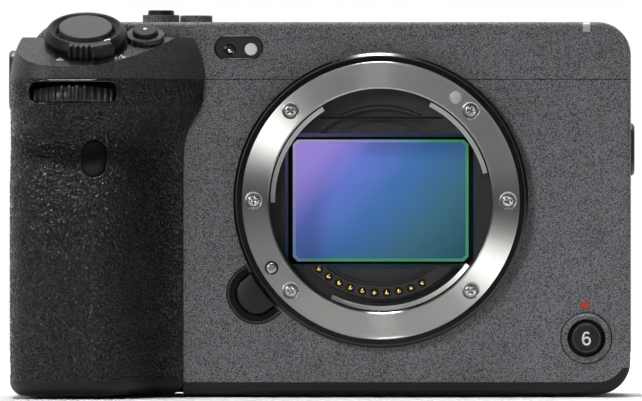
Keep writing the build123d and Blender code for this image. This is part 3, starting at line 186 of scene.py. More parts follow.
# %% Surround
world = bpy.data.worlds.new("studio")
world.use_nodes = True
tree = world.node_tree
background = tree.nodes["Background"]
background.inputs["Color"].default_value = (1.0, 1.0, 1.0, 1.0)
direction = add_node(tree, "ShaderNodeTexCoord", -1000, 0)
parts = add_node(tree, "ShaderNodeSeparateXYZ", -800, 0)
behind = add_node(tree, "ShaderNodeMapRange", -600, 0,
                  {"From Min": 0.1, "From Max": 0.5, "To Min": 0.04, "To Max": 1.0})
seen = add_node(tree, "ShaderNodeLightPath", -600, -300)
strength = add_node(tree, "ShaderNodeMath", -300, 0, operation="MAXIMUM")
wire(tree, (direction, "Generated", parts, 0), (parts, "Y", behind, "Value"), (behind, "Result", strength, 0),
     (seen, "Is Camera Ray", strength, 1), (strength, 0, background, "Strength"))
bpy.context.scene.world = world
print("surround:", world.name)

# %% [markdown]
# ## Shared surface effects
# Speckle, leather grain, tool marks and dust appear in several finishes. Each is one node group with named
# inputs, so that a finish only chooses its own values. All of them read the object coordinates, which are
# the same as the CAD frame here, so that they keep their true size on every piece. The speckle is a pattern
# of small cells, each with a tone of its own, and a slow drift over many cells; the contrast stretches it
# about its middle tone.

# %% Group helpers
def effect_group(name, inputs, outputs):
    """An empty node group with its inputs, given with their values, and its outputs."""
    tree = bpy.data.node_groups.new(name, "ShaderNodeTree")
    for label, value in inputs.items():
        socket = tree.interface.new_socket(label, in_out="INPUT", socket_type="NodeSocketFloat")
        socket.default_value = value
    for label in outputs:
        tree.interface.new_socket(label, in_out="OUTPUT", socket_type="NodeSocketFloat")
    return tree, add_node(tree, "NodeGroupInput", -900, 0), add_node(tree, "NodeGroupOutput", 700, 0)


def scaled_coordinates(tree, source, socket):
    """Object coordinates in metres times a group input."""
    place = add_node(tree, "ShaderNodeTexCoord", -700, 0)
    scale = add_node(tree, "ShaderNodeVectorMath", -520, 0, operation="SCALE")
    wire(tree, (place, "Object", scale, 0), (source, socket, scale, "Scale"))
    return scale


def from_lens_axis(tree, x, y):
    """Which way and how far each point lies from the lens axis."""
    place = add_node(tree, "ShaderNodeTexCoord", x, y)
    spoke = add_node(tree, "ShaderNodeVectorMath", x + 200, y, {1: LENS_AXIS}, operation="SUBTRACT")
    flat = add_node(tree, "ShaderNodeVectorMath", x + 400, y, {1: (1.0, 0.0, 1.0)}, operation="MULTIPLY")
    wire(tree, (place, "Object", spoke, 0), (spoke, 0, flat, 0))
    return flat


print("group helpers ready")

# %% Speckle
speckle, given, made = effect_group("paint speckle", {"Grains per metre": 3000.0, "Contrast": 1.0},
                                    ("Speckle", "Height"))
where = scaled_coordinates(speckle, given, "Grains per metre")
fine = add_node(speckle, "ShaderNodeTexVoronoi", -300, 120, {"Scale": 1.0})
coarse = add_node(speckle, "ShaderNodeTexNoise", -300, -160, {"Scale": 0.03, "Detail": 2.0})
spread = add_node(speckle, "ShaderNodeMapRange", -60, 120, {"From Min": 0.20, "From Max": 0.80})
tone = add_node(speckle, "ShaderNodeMix", 180, 60, {"Factor": 0.2}, data_type="FLOAT")
centre = add_node(speckle, "ShaderNodeMath", 360, 60, {1: 0.5}, operation="SUBTRACT")
stretch = add_node(speckle, "ShaderNodeMath", 520, 60, {2: 0.5}, operation="MULTIPLY_ADD")
wire(speckle, (where, 0, fine, "Vector"), (where, 0, coarse, "Vector"), (fine, "Color", spread, "Value"),
     (spread, "Result", tone, 2), (coarse, "Fac", tone, 3), (tone, 0, centre, 0), (centre, 0, stretch, 0),
     (given, "Contrast", stretch, 1), (stretch, 0, made, "Speckle"), (spread, "Result", made, "Height"))
print("group:", speckle.name)

# %% Dust and handling
handling, given, made = effect_group("handling", {"Patches per metre": 60.0, "Strength": 1.0}, ("Smudge",))
where = scaled_coordinates(handling, given, "Patches per metre")
patch = add_node(handling, "ShaderNodeTexNoise", -300, 0, {"Scale": 1.0, "Detail": 6.0, "Roughness": 0.6})
soften = add_node(handling, "ShaderNodeMapRange", -60, 0, {"From Min": 0.35, "From Max": 0.75})
weight = add_node(handling, "ShaderNodeMath", 180, 0, operation="MULTIPLY")
wire(handling, (where, 0, patch, "Vector"), (patch, "Fac", soften, "Value"), (soften, "Result", weight, 0),
     (given, "Strength", weight, 1), (weight, 0, made, "Smudge"))
print("group:", handling.name)

# %% Turning marks
turning, given, made = effect_group("turning marks", {"Grooves per metre": 9000.0}, ("Groove",))
spoke = from_lens_axis(turning, -900, 200)
reach = add_node(turning, "ShaderNodeVectorMath", -320, 200, operation="LENGTH")
grooves = add_node(turning, "ShaderNodeMath", -160, 200, operation="MULTIPLY")
line = add_node(turning, "ShaderNodeTexNoise", 0, 200, {"Scale": 1.0, "Detail": 3.0}, noise_dimensions="1D")
wire(turning, (spoke, 0, reach, 0), (reach, "Value", grooves, 0), (given, "Grooves per metre", grooves, 1),
     (grooves, 0, line, "W"), (line, "Fac", made, "Groove"))
print("group:", turning.name)

# %% Leather pores
pores, given, made = effect_group("leather pores", {"Pebbles per metre": 900.0}, ("Height",))
where = scaled_coordinates(pores, given, "Pebbles per metre")
bend = add_node(pores, "ShaderNodeTexNoise", -500, -200, {"Scale": 0.6})
push = add_node(pores, "ShaderNodeVectorMath", -320, -60, {1: (0.9, 0.9, 0.9)}, operation="MULTIPLY_ADD")
pebble = add_node(pores, "ShaderNodeTexVoronoi", -120, 60, {"Scale": 1.0}, feature="DISTANCE_TO_EDGE")
dome = add_node(pores, "ShaderNodeMapRange", 80, 60, {"From Max": 0.32}, interpolation_type="SMOOTHSTEP")
wire(pores, (where, 0, bend, "Vector"), (bend, "Color", push, 0), (where, 0, push, 2),
     (push, 0, pebble, "Vector"), (pebble, "Distance", dome, "Value"), (dome, "Result", made, "Height"))
print("group:", pores.name)

# %% [markdown]
# ## Finishes
# A finish is a Principled BSDF with its own constants, fed by the shared effects. Two colours mixed by a
# mask give depth, as light and dark paint flakes do, and finger marks dull the shine in patches.

# %% Finish maker
finishes = {}


def finish_base(name, roughness, metallic=0.0, **sockets):
    """A material with one Principled shader; the named sockets are set on the shader itself."""
    material = bpy.data.materials.new(name)
    material.use_nodes = True
    shader = material.node_tree.nodes["Principled BSDF"]
    shader.inputs["Roughness"].default_value = roughness
    shader.inputs["Metallic"].default_value = metallic
    for label, value in sockets.items():
        shader.inputs[label.replace("_", " ")].default_value = value
    finishes[name] = material
    return material.node_tree, shader


def group_node(tree, group, x, y, **values):
    """One use of a shared effect, with its own values."""
    inputs = {label.replace("_", " "): value for label, value in values.items()}
    return add_node(tree, "ShaderNodeGroup", x, y, inputs, node_tree=group)


def two_tone(tree, shader, mask, dark, light):
    """Base colour between two tones by a mask, given as (node, output)."""
    mix = add_node(tree, "ShaderNodeMix", -220, 220, {6: (*dark, 1.0), 7: (*light, 1.0)}, data_type="RGBA")
    wire(tree, (*mask, mix, "Factor"), (mix, 2, shader, "Base Color"))


def relief(tree, shader, height, depth):
    """A bump of a depth in metres, from a height given as (node, output)."""
    bump = add_node(tree, "ShaderNodeBump", -220, -220, {"Strength": 1.0, "Distance": depth})
    wire(tree, (*height, bump, "Height"), (bump, "Normal", shader, "Normal"))


def handled(tree, shader, low, high, patches, strength=1.0):
    """Roughness that rises between two values where fingers and dust have been; gives the smudge node."""
    smudge = group_node(tree, handling, -620, -60, Patches_per_metre=patches, Strength=strength)
    span = add_node(tree, "ShaderNodeMapRange", -220, 0, {"To Min": low, "To Max": high})
    wire(tree, (smudge, "Smudge", span, "Value"), (span, "Result", shader, "Roughness"))
    return smudge


print("finish maker ready")

# %% Painted and moulded finishes
def speckled(name, dark, light, roughness, grains, contrast, depth, **sockets):
    """Paint or moulded plastic with flakes or grain."""
    tree, shader = finish_base(name, roughness, **sockets)
    grain = group_node(tree, speckle, -620, 200, Grains_per_metre=grains, Contrast=contrast)
    two_tone(tree, shader, (grain, "Speckle"), dark, light)
    relief(tree, shader, (grain, "Height"), depth)
    handled(tree, shader, roughness, roughness + 0.12, patches=90.0)


speckled("cover_grey", (0.022, 0.023, 0.026), (0.212, 0.215, 0.228), 0.50, 7600.0, 4.8, 0.00003)
speckled("deck_grey", (0.010, 0.010, 0.0105), (0.072, 0.072, 0.074), 0.44, 6500.0, 3.6, 0.00003)
speckled("base_black", (0.002, 0.002, 0.0022), (0.005, 0.005, 0.0053), 0.46, 3000.0, 1.0, 0.00002,
         Specular_IOR_Level=0.35)
speckled("button_grey", (0.036, 0.036, 0.038), (0.070, 0.071, 0.074), 0.42, 5200.0, 0.8, 0.00002)
speckled("button_black", (0.003, 0.003, 0.0032), (0.008, 0.008, 0.0083), 0.40, 3000.0, 0.8, 0.00001,
         Specular_IOR_Level=0.35)
speckled("knurl_black", (0.012, 0.012, 0.013), (0.030, 0.030, 0.031), 0.34, 3000.0, 0.8, 0.00001)
# inner_black is the colour of inner black parts and dark joints; it is also laid as painted shade in the wells
# round buttons.
speckled("inner_black", (0.002, 0.002, 0.002), (0.005, 0.005, 0.005), 0.70, 2500.0, 1.0, 0.00003,
         Specular_IOR_Level=0.2)
speckled("monitor_black", (0.012, 0.012, 0.013), (0.028, 0.028, 0.030), 0.46, 3200.0, 1.0, 0.00003)
speckled("foot_rubber", (0.010, 0.010, 0.010), (0.022, 0.022, 0.022), 0.75, 1800.0, 1.0, 0.00004)
speckled("battery_grey", (0.045, 0.046, 0.048), (0.075, 0.076, 0.079), 0.50, 2500.0, 0.8, 0.00002)
speckled("board_green", (0.010, 0.060, 0.028), (0.020, 0.100, 0.045), 0.38, 1500.0, 0.8, 0.00001)
speckled("blade_black", (0.010, 0.010, 0.011), (0.020, 0.020, 0.021), 0.40, 2600.0, 0.8, 0.00001)
speckled("chamber_black", (0.010, 0.010, 0.0105), (0.020, 0.020, 0.0205), 0.48, 2500.0, 1.0, 0.00002)
speckled("satin_black", (0.006, 0.006, 0.006), (0.014, 0.014, 0.014), 0.24, 2500.0, 0.8, 0.00001)
speckled("gloss_black", (0.004, 0.004, 0.0045), (0.008, 0.008, 0.009), 0.12, 1500.0, 0.6, 0.000004)
speckled("window_infrared", (0.004, 0.004, 0.004), (0.007, 0.007, 0.007), 0.55, 2500.0, 0.6, 0.000004,
         Specular_IOR_Level=0.15)
print("painted finishes:", sorted(finishes))


# %% Metals
TOOL_MARK = 0.000002


def metal(name, dark, light, roughness, marks, anisotropy=0.0, smears=1.0):
    """Bare metal with tool marks round the lens axis, and finger marks that dull it."""
    tree, shader = finish_base(name, roughness, 1.0, Anisotropic=anisotropy)
    groove = group_node(tree, turning, -620, 200, Grooves_per_metre=marks)
    two_tone(tree, shader, (groove, "Groove"), dark, light)
    relief(tree, shader, (groove, "Groove"), TOOL_MARK)
    handled(tree, shader, roughness, roughness + 0.08, patches=120.0, strength=smears)
    return tree, shader


def along_spokes(tree, shader):
    """Spread the shine of turned metal away from the lens axis, across its grooves."""
    wire(tree, (from_lens_axis(tree, -700, -420), 0, shader, "Tangent"))


along_spokes(*metal("mount_steel", (0.46, 0.45, 0.43), (0.84, 0.83, 0.81), 0.28, 9000.0, 1.0, 0.1))
along_spokes(*metal("tab_steel", (0.80, 0.79, 0.78), (0.95, 0.94, 0.93), 0.42, 9000.0, 0.92, 0.1))
metal("screw_steel", (0.50, 0.50, 0.49), (0.62, 0.61, 0.60), 0.26, 4000.0, smears=0.2)
metal("insert_steel", (0.20, 0.20, 0.195), (0.27, 0.27, 0.265), 0.46, 6000.0)
metal("lug_alloy", (0.06, 0.06, 0.063), (0.09, 0.09, 0.093), 0.42, 3000.0)
metal("carrier_alloy", (0.40, 0.40, 0.41), (0.52, 0.52, 0.53), 0.38, 3000.0)
metal("heat_alloy", (0.55, 0.55, 0.56), (0.66, 0.66, 0.67), 0.36, 2500.0)
metal("contact_gold", (0.80, 0.52, 0.16), (0.95, 0.68, 0.28), 0.20, 3000.0)
metal("eye_silver", (0.55, 0.55, 0.57), (0.75, 0.75, 0.77), 0.15, 3000.0)
print("metals:", [name for name in finishes if "steel" in name or "alloy" in name or "gold" in name])

# %% Leather
tree, shader = finish_base("grip_leather", 0.42, Specular_IOR_Level=0.5)
grain = group_node(tree, pores, -620, 200, Pebbles_per_metre=1150.0)
# Pebble tops are lighter and creases darker: painted light on the pebbles and painted shade in the creases.
two_tone(tree, shader, (grain, "Height"), (0.003, 0.003, 0.0031), (0.014, 0.014, 0.0143))
relief(tree, shader, (grain, "Height"), 0.00022)
handled(tree, shader, 0.28, 0.36, patches=70.0)
print("leather finish:", finishes["grip_leather"].name)


# %% Glass and lamps
def clear_part(name, tint, roughness, transmission=0.0):
    """Glass or clear plastic; its dust shows as a faint change of colour and gloss."""
    tree, shader = finish_base(name, roughness, IOR=1.5, Transmission_Weight=transmission)
    smudge = handled(tree, shader, roughness, roughness + 0.05, patches=150.0, strength=0.6)
    two_tone(tree, shader, (smudge, "Smudge"), tint, tuple(0.92 * v + 0.01 for v in tint))


clear_part("window_smoke", (0.045, 0.045, 0.046), 0.06)
clear_part("lamp_white", (0.62, 0.62, 0.61), 0.22, 0.25)
clear_part("screen_glass", (0.006, 0.006, 0.007), 0.05)
clear_part("record_red", (0.42, 0.035, 0.012), 0.35)
clear_part("mark_white", (0.80, 0.80, 0.79), 0.45)
clear_part("mark_pearl", (0.46, 0.46, 0.45), 0.30)
print("glass, lamps and marks:", list(finishes)[-6:])

# %% Colours of the sensor
def painted_glow_ramp(name, roughness, stops, **sockets):
    """Glass with a painted reflection of colour and a painted glow, running from its upper left to its lower
    right corner.
    """
    tree, shader = finish_base(name, roughness, **sockets)
    place = add_node(tree, "ShaderNodeTexCoord", -1100, 200)
    slope = add_node(tree, "ShaderNodeVectorMath", -900, 200, {1: (17.0, 0.0, -15.0)}, operation="DOT_PRODUCT")
    offset = add_node(tree, "ShaderNodeMath", -720, 200, {1: 1.10}, operation="ADD")
    colours = add_node(tree, "ShaderNodeValToRGB", -540, 200)
    while len(colours.color_ramp.elements) < len(stops):
        colours.color_ramp.elements.new(0.5)
    for element, (position, colour) in zip(colours.color_ramp.elements, stops):
        element.position = position
        element.color = (*colour, 1.0)
    wire(tree, (place, "Object", slope, 0), (slope, "Value", offset, 0), (offset, 0, colours, "Fac"),
         (colours, "Color", shader, "Base Color"), (colours, "Color", shader, "Emission Color"))


# The sensor's colours are a painted reflection, and its emission is a painted glow.
painted_glow_ramp("sensor_glass", 0.12, (
    (0.0, (0.50, 0.36, 1.0)), (0.14, (0.42, 0.32, 0.98)), (0.30, (0.13, 0.19, 0.62)),
    (0.5, (0.055, 0.16, 0.42)), (0.75, (0.048, 0.15, 0.22)), (1.0, (0.020, 0.095, 0.13))),
            Coat_Weight=0.6, Coat_Roughness=0.04, Emission_Strength=0.45)
painted_glow_ramp("sensor_edge", 0.18, (
    (0.0, (0.70, 0.66, 0.90)), (0.26, (0.40, 0.44, 0.82)), (0.40, (0.24, 0.46, 0.62)),
    (0.50, (0.10, 0.46, 0.20)), (0.8, (0.08, 0.40, 0.20)), (1.0, (0.10, 0.42, 0.26))), Emission_Strength=0.36)
print("sensor finishes:", list(finishes)[-2:])

# %% Paper
tree, shader = finish_base("studio_paper", 0.85)
paper = group_node(tree, speckle, -620, 200, Grains_per_metre=700.0, Contrast=0.5)
two_tone(tree, shader, (paper, "Speckle"), (0.80, 0.80, 0.80), (0.84, 0.84, 0.84))
sheet.data.materials.append(finishes["studio_paper"])
print("finishes:", len(finishes))


# %% [markdown]
# ## Finishes on the CAD pieces
# The record names one finish slot for each CAD piece, and most of the finishes above carry the same name.
# Four pieces take another finish, closer to the picture than that of their slot.

# %% Dress the CAD pieces
def dress(obj, name):
    """Gives an object one finish."""
    obj.data.materials.clear()
    obj.data.materials.append(finishes[name])


closer = {"rec_collar": "cover_grey", "power_switch": "cover_grey", "sensor_carrier": "inner_black",
          "light_chamber": "chamber_black"}
for entry in frame["record"]["subparts"]:
    dress(nodes[entry["node"]], closer.get(entry["node"], entry["material_slot"]))

# %% [markdown]
# ## Grip leather
# The grip wears one moulded sheet of grained rubber leather. A bump map alone would leave its outline and
# its highlights too smooth, so the sheet is a fine grid wrapped round the CAD section, and every point is
# pushed in or out by a cell pattern: flat pebbles with creases between them. The grain fades out beside
# the dial slot, the small window and the edges, as it does on a moulded sheet.

# %% Grip section
FRONT, SEAM, FOOT_TOP = -24.0, 65.0, 3.1
GRIP_SIDE, GRIP_BORDER, GRIP_FLARE, GRIP_CORNER, RIDGE = 76.0, 40.7, 4.5, 9.0, 59.0
BELLY, BELLY_Z, BELLY_BEND = 22.7, 30.0, 0.0022
NOTCH, NOTCH_Z, NOTCH_SPAN = 5.0, 52.3, 6.2
FLARE_Z, FLARE_SPAN = 56.5, 1.9
CORNER_STEPS, CURVE_STEPS = 24, 40


def nose(z):
    """Depth of the grip's foremost surface at a height: a long belly with a finger notch above it."""
    belly = BELLY - BELLY_BEND * (z - BELLY_Z) ** 2
    return FRONT - belly + NOTCH * exp(-((z - NOTCH_Z) / NOTCH_SPAN) ** 2)


def grip_outline(z, inset=0.0):
    """Plan of the grip at a height, from its rear edge round the front to the border beside the mount."""
    grown = 1 / (1 + exp(-(z - FLARE_Z) / FLARE_SPAN))
    side, front = -GRIP_SIDE + inset, nose(z) + inset
    border, radius = -GRIP_BORDER + GRIP_FLARE * grown - inset, GRIP_CORNER - inset
    points = [(side, 0.0), (side, front + radius)]
    for step in range(1, CORNER_STEPS + 1):
        angle = pi / 2 * step / CORNER_STEPS
        points.append((side + radius * (1 - cos(angle)), front + radius * (1 - sin(angle))))
    a, b = (-RIDGE, front), (-RIDGE + 9.0 - 6.0 * grown - inset, front)
    c = (-49.5 + 9.0 * grown - inset, FRONT - 1.2 - 9.3 * grown + inset)
    d = (border, FRONT - 0.4 + inset)
    for step in range(CURVE_STEPS + 1):
        s = step / CURVE_STEPS
        weights = ((1 - s) ** 3, 3 * s * (1 - s) ** 2, 3 * s * s * (1 - s), s ** 3)
        points.append(tuple(sum(w * p[i] for w, p in zip(weights, (a, b, c, d))) for i in (0, 1)))
    points.append((border, FRONT + 0.5))
    return points


def even_points(points, count):
    """The same line, cut into equal steps."""
    runs = [((b[0] - a[0]) ** 2 + (b[1] - a[1]) ** 2) ** 0.5 for a, b in zip(points, points[1:])]
    total, result, index, start = sum(runs), [], 0, 0.0
    for step in range(count):
        target = min(total * step / (count - 1), total - 1e-9)
        while start + runs[index] < target:
            start += runs[index]
            index += 1
        share = (target - start) / runs[index]
        a, b = points[index], points[index + 1]
        result.append((a[0] + share * (b[0] - a[0]), a[1] + share * (b[1] - a[1])))
    return result


def grip_front(x, z):
    """Depth of the grip's surface straight behind a point of the front view."""
    line = grip_outline(z)[1:]
    for (x0, y0), (x1, y1) in zip(line, line[1:]):
        if x0 <= x <= x1 and x1 > x0:
            return y0 + (y1 - y0) * (x - x0) / (x1 - x0)
    return line[-1][1]


print("grip stands out", round(FRONT - nose(BELLY_Z), 2), "mm at its belly")

# %% Slot and window in the leather
SLOT_X, SLOT_Z, SLOT_W, SLOT_H, SLOT_CORNER = -62.8, 62.15, 18.2, 4.7, 1.6
EYE_X, EYE_Z, EYE_W, EYE_H = -58.6, 48.6, 5.2, 7.7
LUG_Y, LEFT_LUG_Z, RIGHT_LUG_Z = -7.0, 64.9, 50.6


def rounded_outline(width, height, corner, steps=8):
    """A rounded rectangle about the origin, anticlockwise."""
    points = []
    for cx, cz, start in ((1, 1, 0), (-1, 1, 90), (-1, -1, 180), (1, -1, 270)):
        for step in range(steps + 1):
            angle = radians(start + 90 * step / steps)
            points.append((cx * (width / 2 - corner) + corner * cos(angle),
                           cz * (height / 2 - corner) + corner * sin(angle)))
    return points


def prism(name, outline, low, high, place):
    """A closed prism from an outline; place turns (u, v, depth) into a point."""
    n = len(outline)
    points = [place(u, v, low) for u, v in outline] + [place(u, v, high) for u, v in outline]
    faces = [tuple(range(n))[::-1], tuple(range(n, 2 * n))]
    faces += [(i, (i + 1) % n, n + (i + 1) % n, n + i) for i in range(n)]
    return mesh_object(name, points, faces, smooth=False)


def facing_front(x, z):
    """Places an outline in the front view."""
    return lambda u, v, depth: (x + u, depth, z + v)


def cut_away(obj, *cutters):
    """Subtracts the cutters and deletes them."""
    for cutter in cutters:
        modifier = obj.modifiers.new("cut", "BOOLEAN")
        modifier.operation = "DIFFERENCE"
        modifier.solver = "EXACT"
        modifier.object = cutter
    bpy.context.view_layer.update()
    result = bpy.data.meshes.new_from_object(obj.evaluated_get(bpy.context.evaluated_depsgraph_get()))
    obj.modifiers.clear()
    obj.data = result
    for cutter in cutters:
        bpy.data.objects.remove(cutter)


print("slot", SLOT_W, "by", SLOT_H, "mm, window", EYE_W, "by", EYE_H, "mm")

# %% Grain of the leather
# Unless it is seeded, the noise that bends the cells starts from the clock.
noise.seed_set(7)


def hole_distance(x, z, cx, cz, width, height):
    """How far a point of the front view lies outside a rectangle."""
    return max(abs(x - cx) - width / 2, abs(z - cz) - height / 2, 0.0)


def pebble_height(point, size=0.82, bend=0.35, crease=0.42):
    """Height of the grain from 0 in a crease to 1 on a pebble."""
    spot = Vector(point) / size
    spot += bend * noise.noise_vector(spot * 0.7)
    near = noise.voronoi(spot)[0]
    edge = min((near[1] - near[0]) / crease, 1.0)
    return edge * edge * (3 - 2 * edge)


COLUMNS, ROWS, GRAIN, SKIN = 440, 300, 0.20, 1.15
FOOT_FADE, SEAM_FADE, HOLE_FADE, SIDE_FADE, FACE_Y = 0.8, 0.6, 0.8, 4, -30
HOLES = ((SLOT_X, SLOT_Z, SLOT_W, SLOT_H), (EYE_X, EYE_Z, EYE_W, EYE_H))
outer, inner = [], []
for row in range(ROWS):
    z = FOOT_TOP + (SEAM - 0.06 - FOOT_TOP) * row / (ROWS - 1)
    line = even_points(grip_outline(z), COLUMNS)
    back = even_points(grip_outline(z, SKIN), COLUMNS)
    for column, ((x, y), (u, v)) in enumerate(zip(line, back)):
        away = Vector((x - u, y - v)).normalized()
        fade = min((z - FOOT_TOP) / FOOT_FADE, (SEAM - z) / SEAM_FADE, column / SIDE_FADE,
                   (COLUMNS - 1 - column) / SIDE_FADE, 1.0)
        if y < FACE_Y:
            fade = min(fade, *(hole_distance(x, z, *hole) / HOLE_FADE for hole in HOLES))
        lift = GRAIN * max(fade, 0.0) * (pebble_height((x, y, z)) - 1.0)
        outer.append((x + away.x * lift, y + away.y * lift, z))
        inner.append((u, v, z))
count = COLUMNS * ROWS
pairs = zip(grid_faces(ROWS, COLUMNS, around=False), grid_faces(ROWS, COLUMNS, around=False, first=count))
faces = [face for (a, b, c, d), inside in pairs for face in ((a, d, c, b), inside)]
for column in range(COLUMNS - 1):
    for a, flip in ((column, False), (count - COLUMNS + column, True)):
        face = (a, count + a, count + a + 1, a + 1)
        faces.append(face[::-1] if flip else face)
for row in range(ROWS - 1):
    for a, flip in ((row * COLUMNS, True), (row * COLUMNS + COLUMNS - 1, False)):
        face = (a, count + a, count + a + COLUMNS, a + COLUMNS)
        faces.append(face[::-1] if flip else face)
leather = mesh_object("leather_skin", outer + inner, faces)
slot_cutter = prism("slot_cutter", rounded_outline(SLOT_W, SLOT_H, SLOT_CORNER), -52.0, -34.0,
                    facing_front(SLOT_X, SLOT_Z))
eye_cutter = prism("eye_cutter", rounded_outline(EYE_W, EYE_H, EYE_W / 2 - 0.01), -52.0, -34.0,
                   facing_front(EYE_X, EYE_Z))
lug_cutter = prism("lug_cutter", rounded_outline(12.5, 12.5, 3.0), -80.0, -70.0,
                   lambda u, v, depth: (depth, LUG_Y + u, LEFT_LUG_Z + v))
cut_away(leather, slot_cutter, eye_cutter, lug_cutter)
dress(leather, "grip_leather")
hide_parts("grip_skin")
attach(leather, "camera")
print("leather:", len(leather.data.vertices), "points")

# %% [markdown]
# ## Turned and ribbed parts
# Rings, caps and dials are turned on a lathe. Their meshes come the same way: a short profile of radius and
# height, swept round an axis. Ribs are added by letting the radius change with the angle, which keeps one
# clean grid with rounded crests that catch the light.

# %% Lathe
def frame_at(origin, normal, right=(1.0, 0.0, 0.0)):
    """Turns (u, v, w) about an origin into a point; w runs along the normal."""
    w = Vector(normal).normalized()
    u = (Vector(right) - w * w.dot(Vector(right))).normalized()
    v = w.cross(u)
    base = Vector(origin)
    return lambda a, b, c: base + u * a + v * b + w * c


def swept(name, profile, place, steps=96, shape=None, closed=True):
    """Sweeps a profile of (radius, height) about the w axis; shape(angle, radius, height) may change it."""
    points, count = [], len(profile)
    for step in range(steps):
        angle = 2 * pi * step / steps
        for radius, height in profile:
            r, h = shape(angle, radius, height) if shape else (radius, height)
            points.append(place(r * cos(angle), r * sin(angle), h))
    faces = grid_faces(steps, count, around=closed, closed=True)
    if not closed:
        faces.append(tuple(step * count for step in range(steps)))
        faces.append(tuple(step * count + count - 1 for step in range(steps)))
    return mesh_object(name, points, faces)


def keep_edges(obj, angle=35):
    """Shades smooth but keeps edges sharper than an angle."""
    obj.data.set_sharp_from_angle(angle=radians(angle))


def settle(obj, finish, body, *hidden):
    """Gives a piece its finish, its body and the CAD nodes that it stands for."""
    dress(obj, finish)
    if hidden:
        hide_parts(*hidden)
    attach(obj, body)


# %% [markdown]
# ## Zoom ring on the deck
# The ring's side is a cone that ends in a raised rim, and a tab of ribs grows out of its front. On the real
# ring it is one moulding, so it is one sweep here too: near the tab the profile moves outward, and the
# ribs cut it back.

# %% Deck plane
DECK_TILT, DECK_FOOT_Z = radians(26.4), 67.4
DECK_NORMAL = (0.0, -sin(DECK_TILT), cos(DECK_TILT))


def deck_point(behind, x, lift=0.0):
    """A point over the sloping deck: distance up the slope from its front edge, x, and height above it."""
    return (x, nose(SEAM) + behind * cos(DECK_TILT) - lift * sin(DECK_TILT),
            DECK_FOOT_Z + behind * sin(DECK_TILT) + lift * cos(DECK_TILT))


DIAL_SPOT = (10.9, -60.5)
on_dial = frame_at(deck_point(*DIAL_SPOT), DECK_NORMAL)
TAB_MIDDLE, TAB_HALF = radians(-81), radians(33)
print("dial centre:", [round(v, 2) for v in deck_point(*DIAL_SPOT)])


# %% Zoom ring
GROOVES = ((4, 0.62, -25, 7.6, 1.7), (7, 0.22, 5, 3.6, 0.9))


def tab_share(angle):
    """1 on the ribbed tab, 0 elsewhere, with a short ramp at each end."""
    off = abs((angle - TAB_MIDDLE + pi) % (2 * pi) - pi)
    return max(0.0, min((TAB_HALF - off) / radians(3.0), 1.0))


def rib_cut(angle):
    """Depth of the grooves between the ribs: four deep ones on the left, fine ones on the right. Each row
    of GROOVES gives a number, a depth in mm, and the first angle, the pitch and the width in degrees."""
    turn = (angle - TAB_MIDDLE + pi) % (2 * pi) - pi
    return sum(depth * exp(-((turn - radians(first + pitch * i)) / radians(width)) ** 2)
               for number, depth, first, pitch, width in GROOVES for i in range(number))


ZOOM_PROFILE = [(5.80, 1.80), (7.55, 1.80), (7.66, 0.45), (8.15, 0.35), (8.30, 0.50), (8.30, 1.45),
                (8.60, 1.60), (8.55, 2.10), (8.15, 2.75), (7.75, 3.25), (7.55, 3.46), (7.30, 3.54),
                (7.05, 3.46), (6.75, 3.20), (6.30, 2.90), (5.88, 2.78)]
TAB_PROFILE = {3: (9.05, 0.28), 4: (9.35, 0.45), 5: (9.48, 1.30), 6: (9.50, 2.10), 7: (9.46, 2.75),
               8: (9.20, 3.15), 9: (8.60, 3.40), 10: (7.90, 3.52)}
profile_index = {point: i for i, point in enumerate(ZOOM_PROFILE)}


def zoom_shape(angle, radius, height):
    """The ring's own profile, moved outward and cut by ribs on the tab."""
    index, share = profile_index[(radius, height)], tab_share(angle)
    if index not in TAB_PROFILE or share == 0.0:
        return radius, height
    r, h = TAB_PROFILE[index]
    r = radius + share * (r - radius)
    if index <= 9:
        r -= share * rib_cut(angle) * (1.0 if index <= 8 else 0.5)
    return r, height + share * (h - height)


zoom_ring = swept("zoom_ring", ZOOM_PROFILE, on_dial, 720, zoom_shape)
settle(zoom_ring, "button_black", "zoom_lever", "zoom_lever")
print("zoom ring:", len(zoom_ring.data.polygons), "faces")

# %% Index of the zoom ring
MARK_ANGLE = radians(-52)
MARK_PROFILE = [(6.05, 2.86), (6.40, 2.98), (6.80, 3.28), (7.10, 3.53), (7.35, 3.58), (7.70, 3.36)]
mark_points = []
for side in (-1, -0.5, 0, 0.5, 1):
    for i, (r, h) in enumerate(MARK_PROFILE):
        angle = MARK_ANGLE + side * radians(2.5 + 0.7 * i)
        mark_points.append(on_dial(r * cos(angle), r * sin(angle), h + 0.04))
index_mark = mesh_object("zoom_index", mark_points, grid_faces(5, len(MARK_PROFILE), around=False))
settle(index_mark, "mark_white", "zoom_lever")
print("index:", len(mark_points), "points")

# %% Release disc
DISC_PROFILE = [(0.02, 3.74), (2.0, 3.76), (4.2, 3.82), (5.05, 3.87), (5.32, 3.81), (5.46, 3.64), (5.48, 3.3),
                (5.48, 2.47), (2.19, 2.45), (2.19, -0.12), (0.02, -0.14)]
disc = swept("release_disc", DISC_PROFILE, on_dial, 128, closed=False)
keep_edges(disc)
settle(disc, "button_grey", "release_button", "release_button")
print("disc:", len(disc.data.polygons), "faces")

# %% [markdown]
# ## Dials
# The front dial is a wheel with 42 ribs behind the slot, and the rear dial has 36. Each rib is a rounded bar
# with a dark gap beside it, so the radius follows a smooth pulse and the rim is rounded top and bottom.

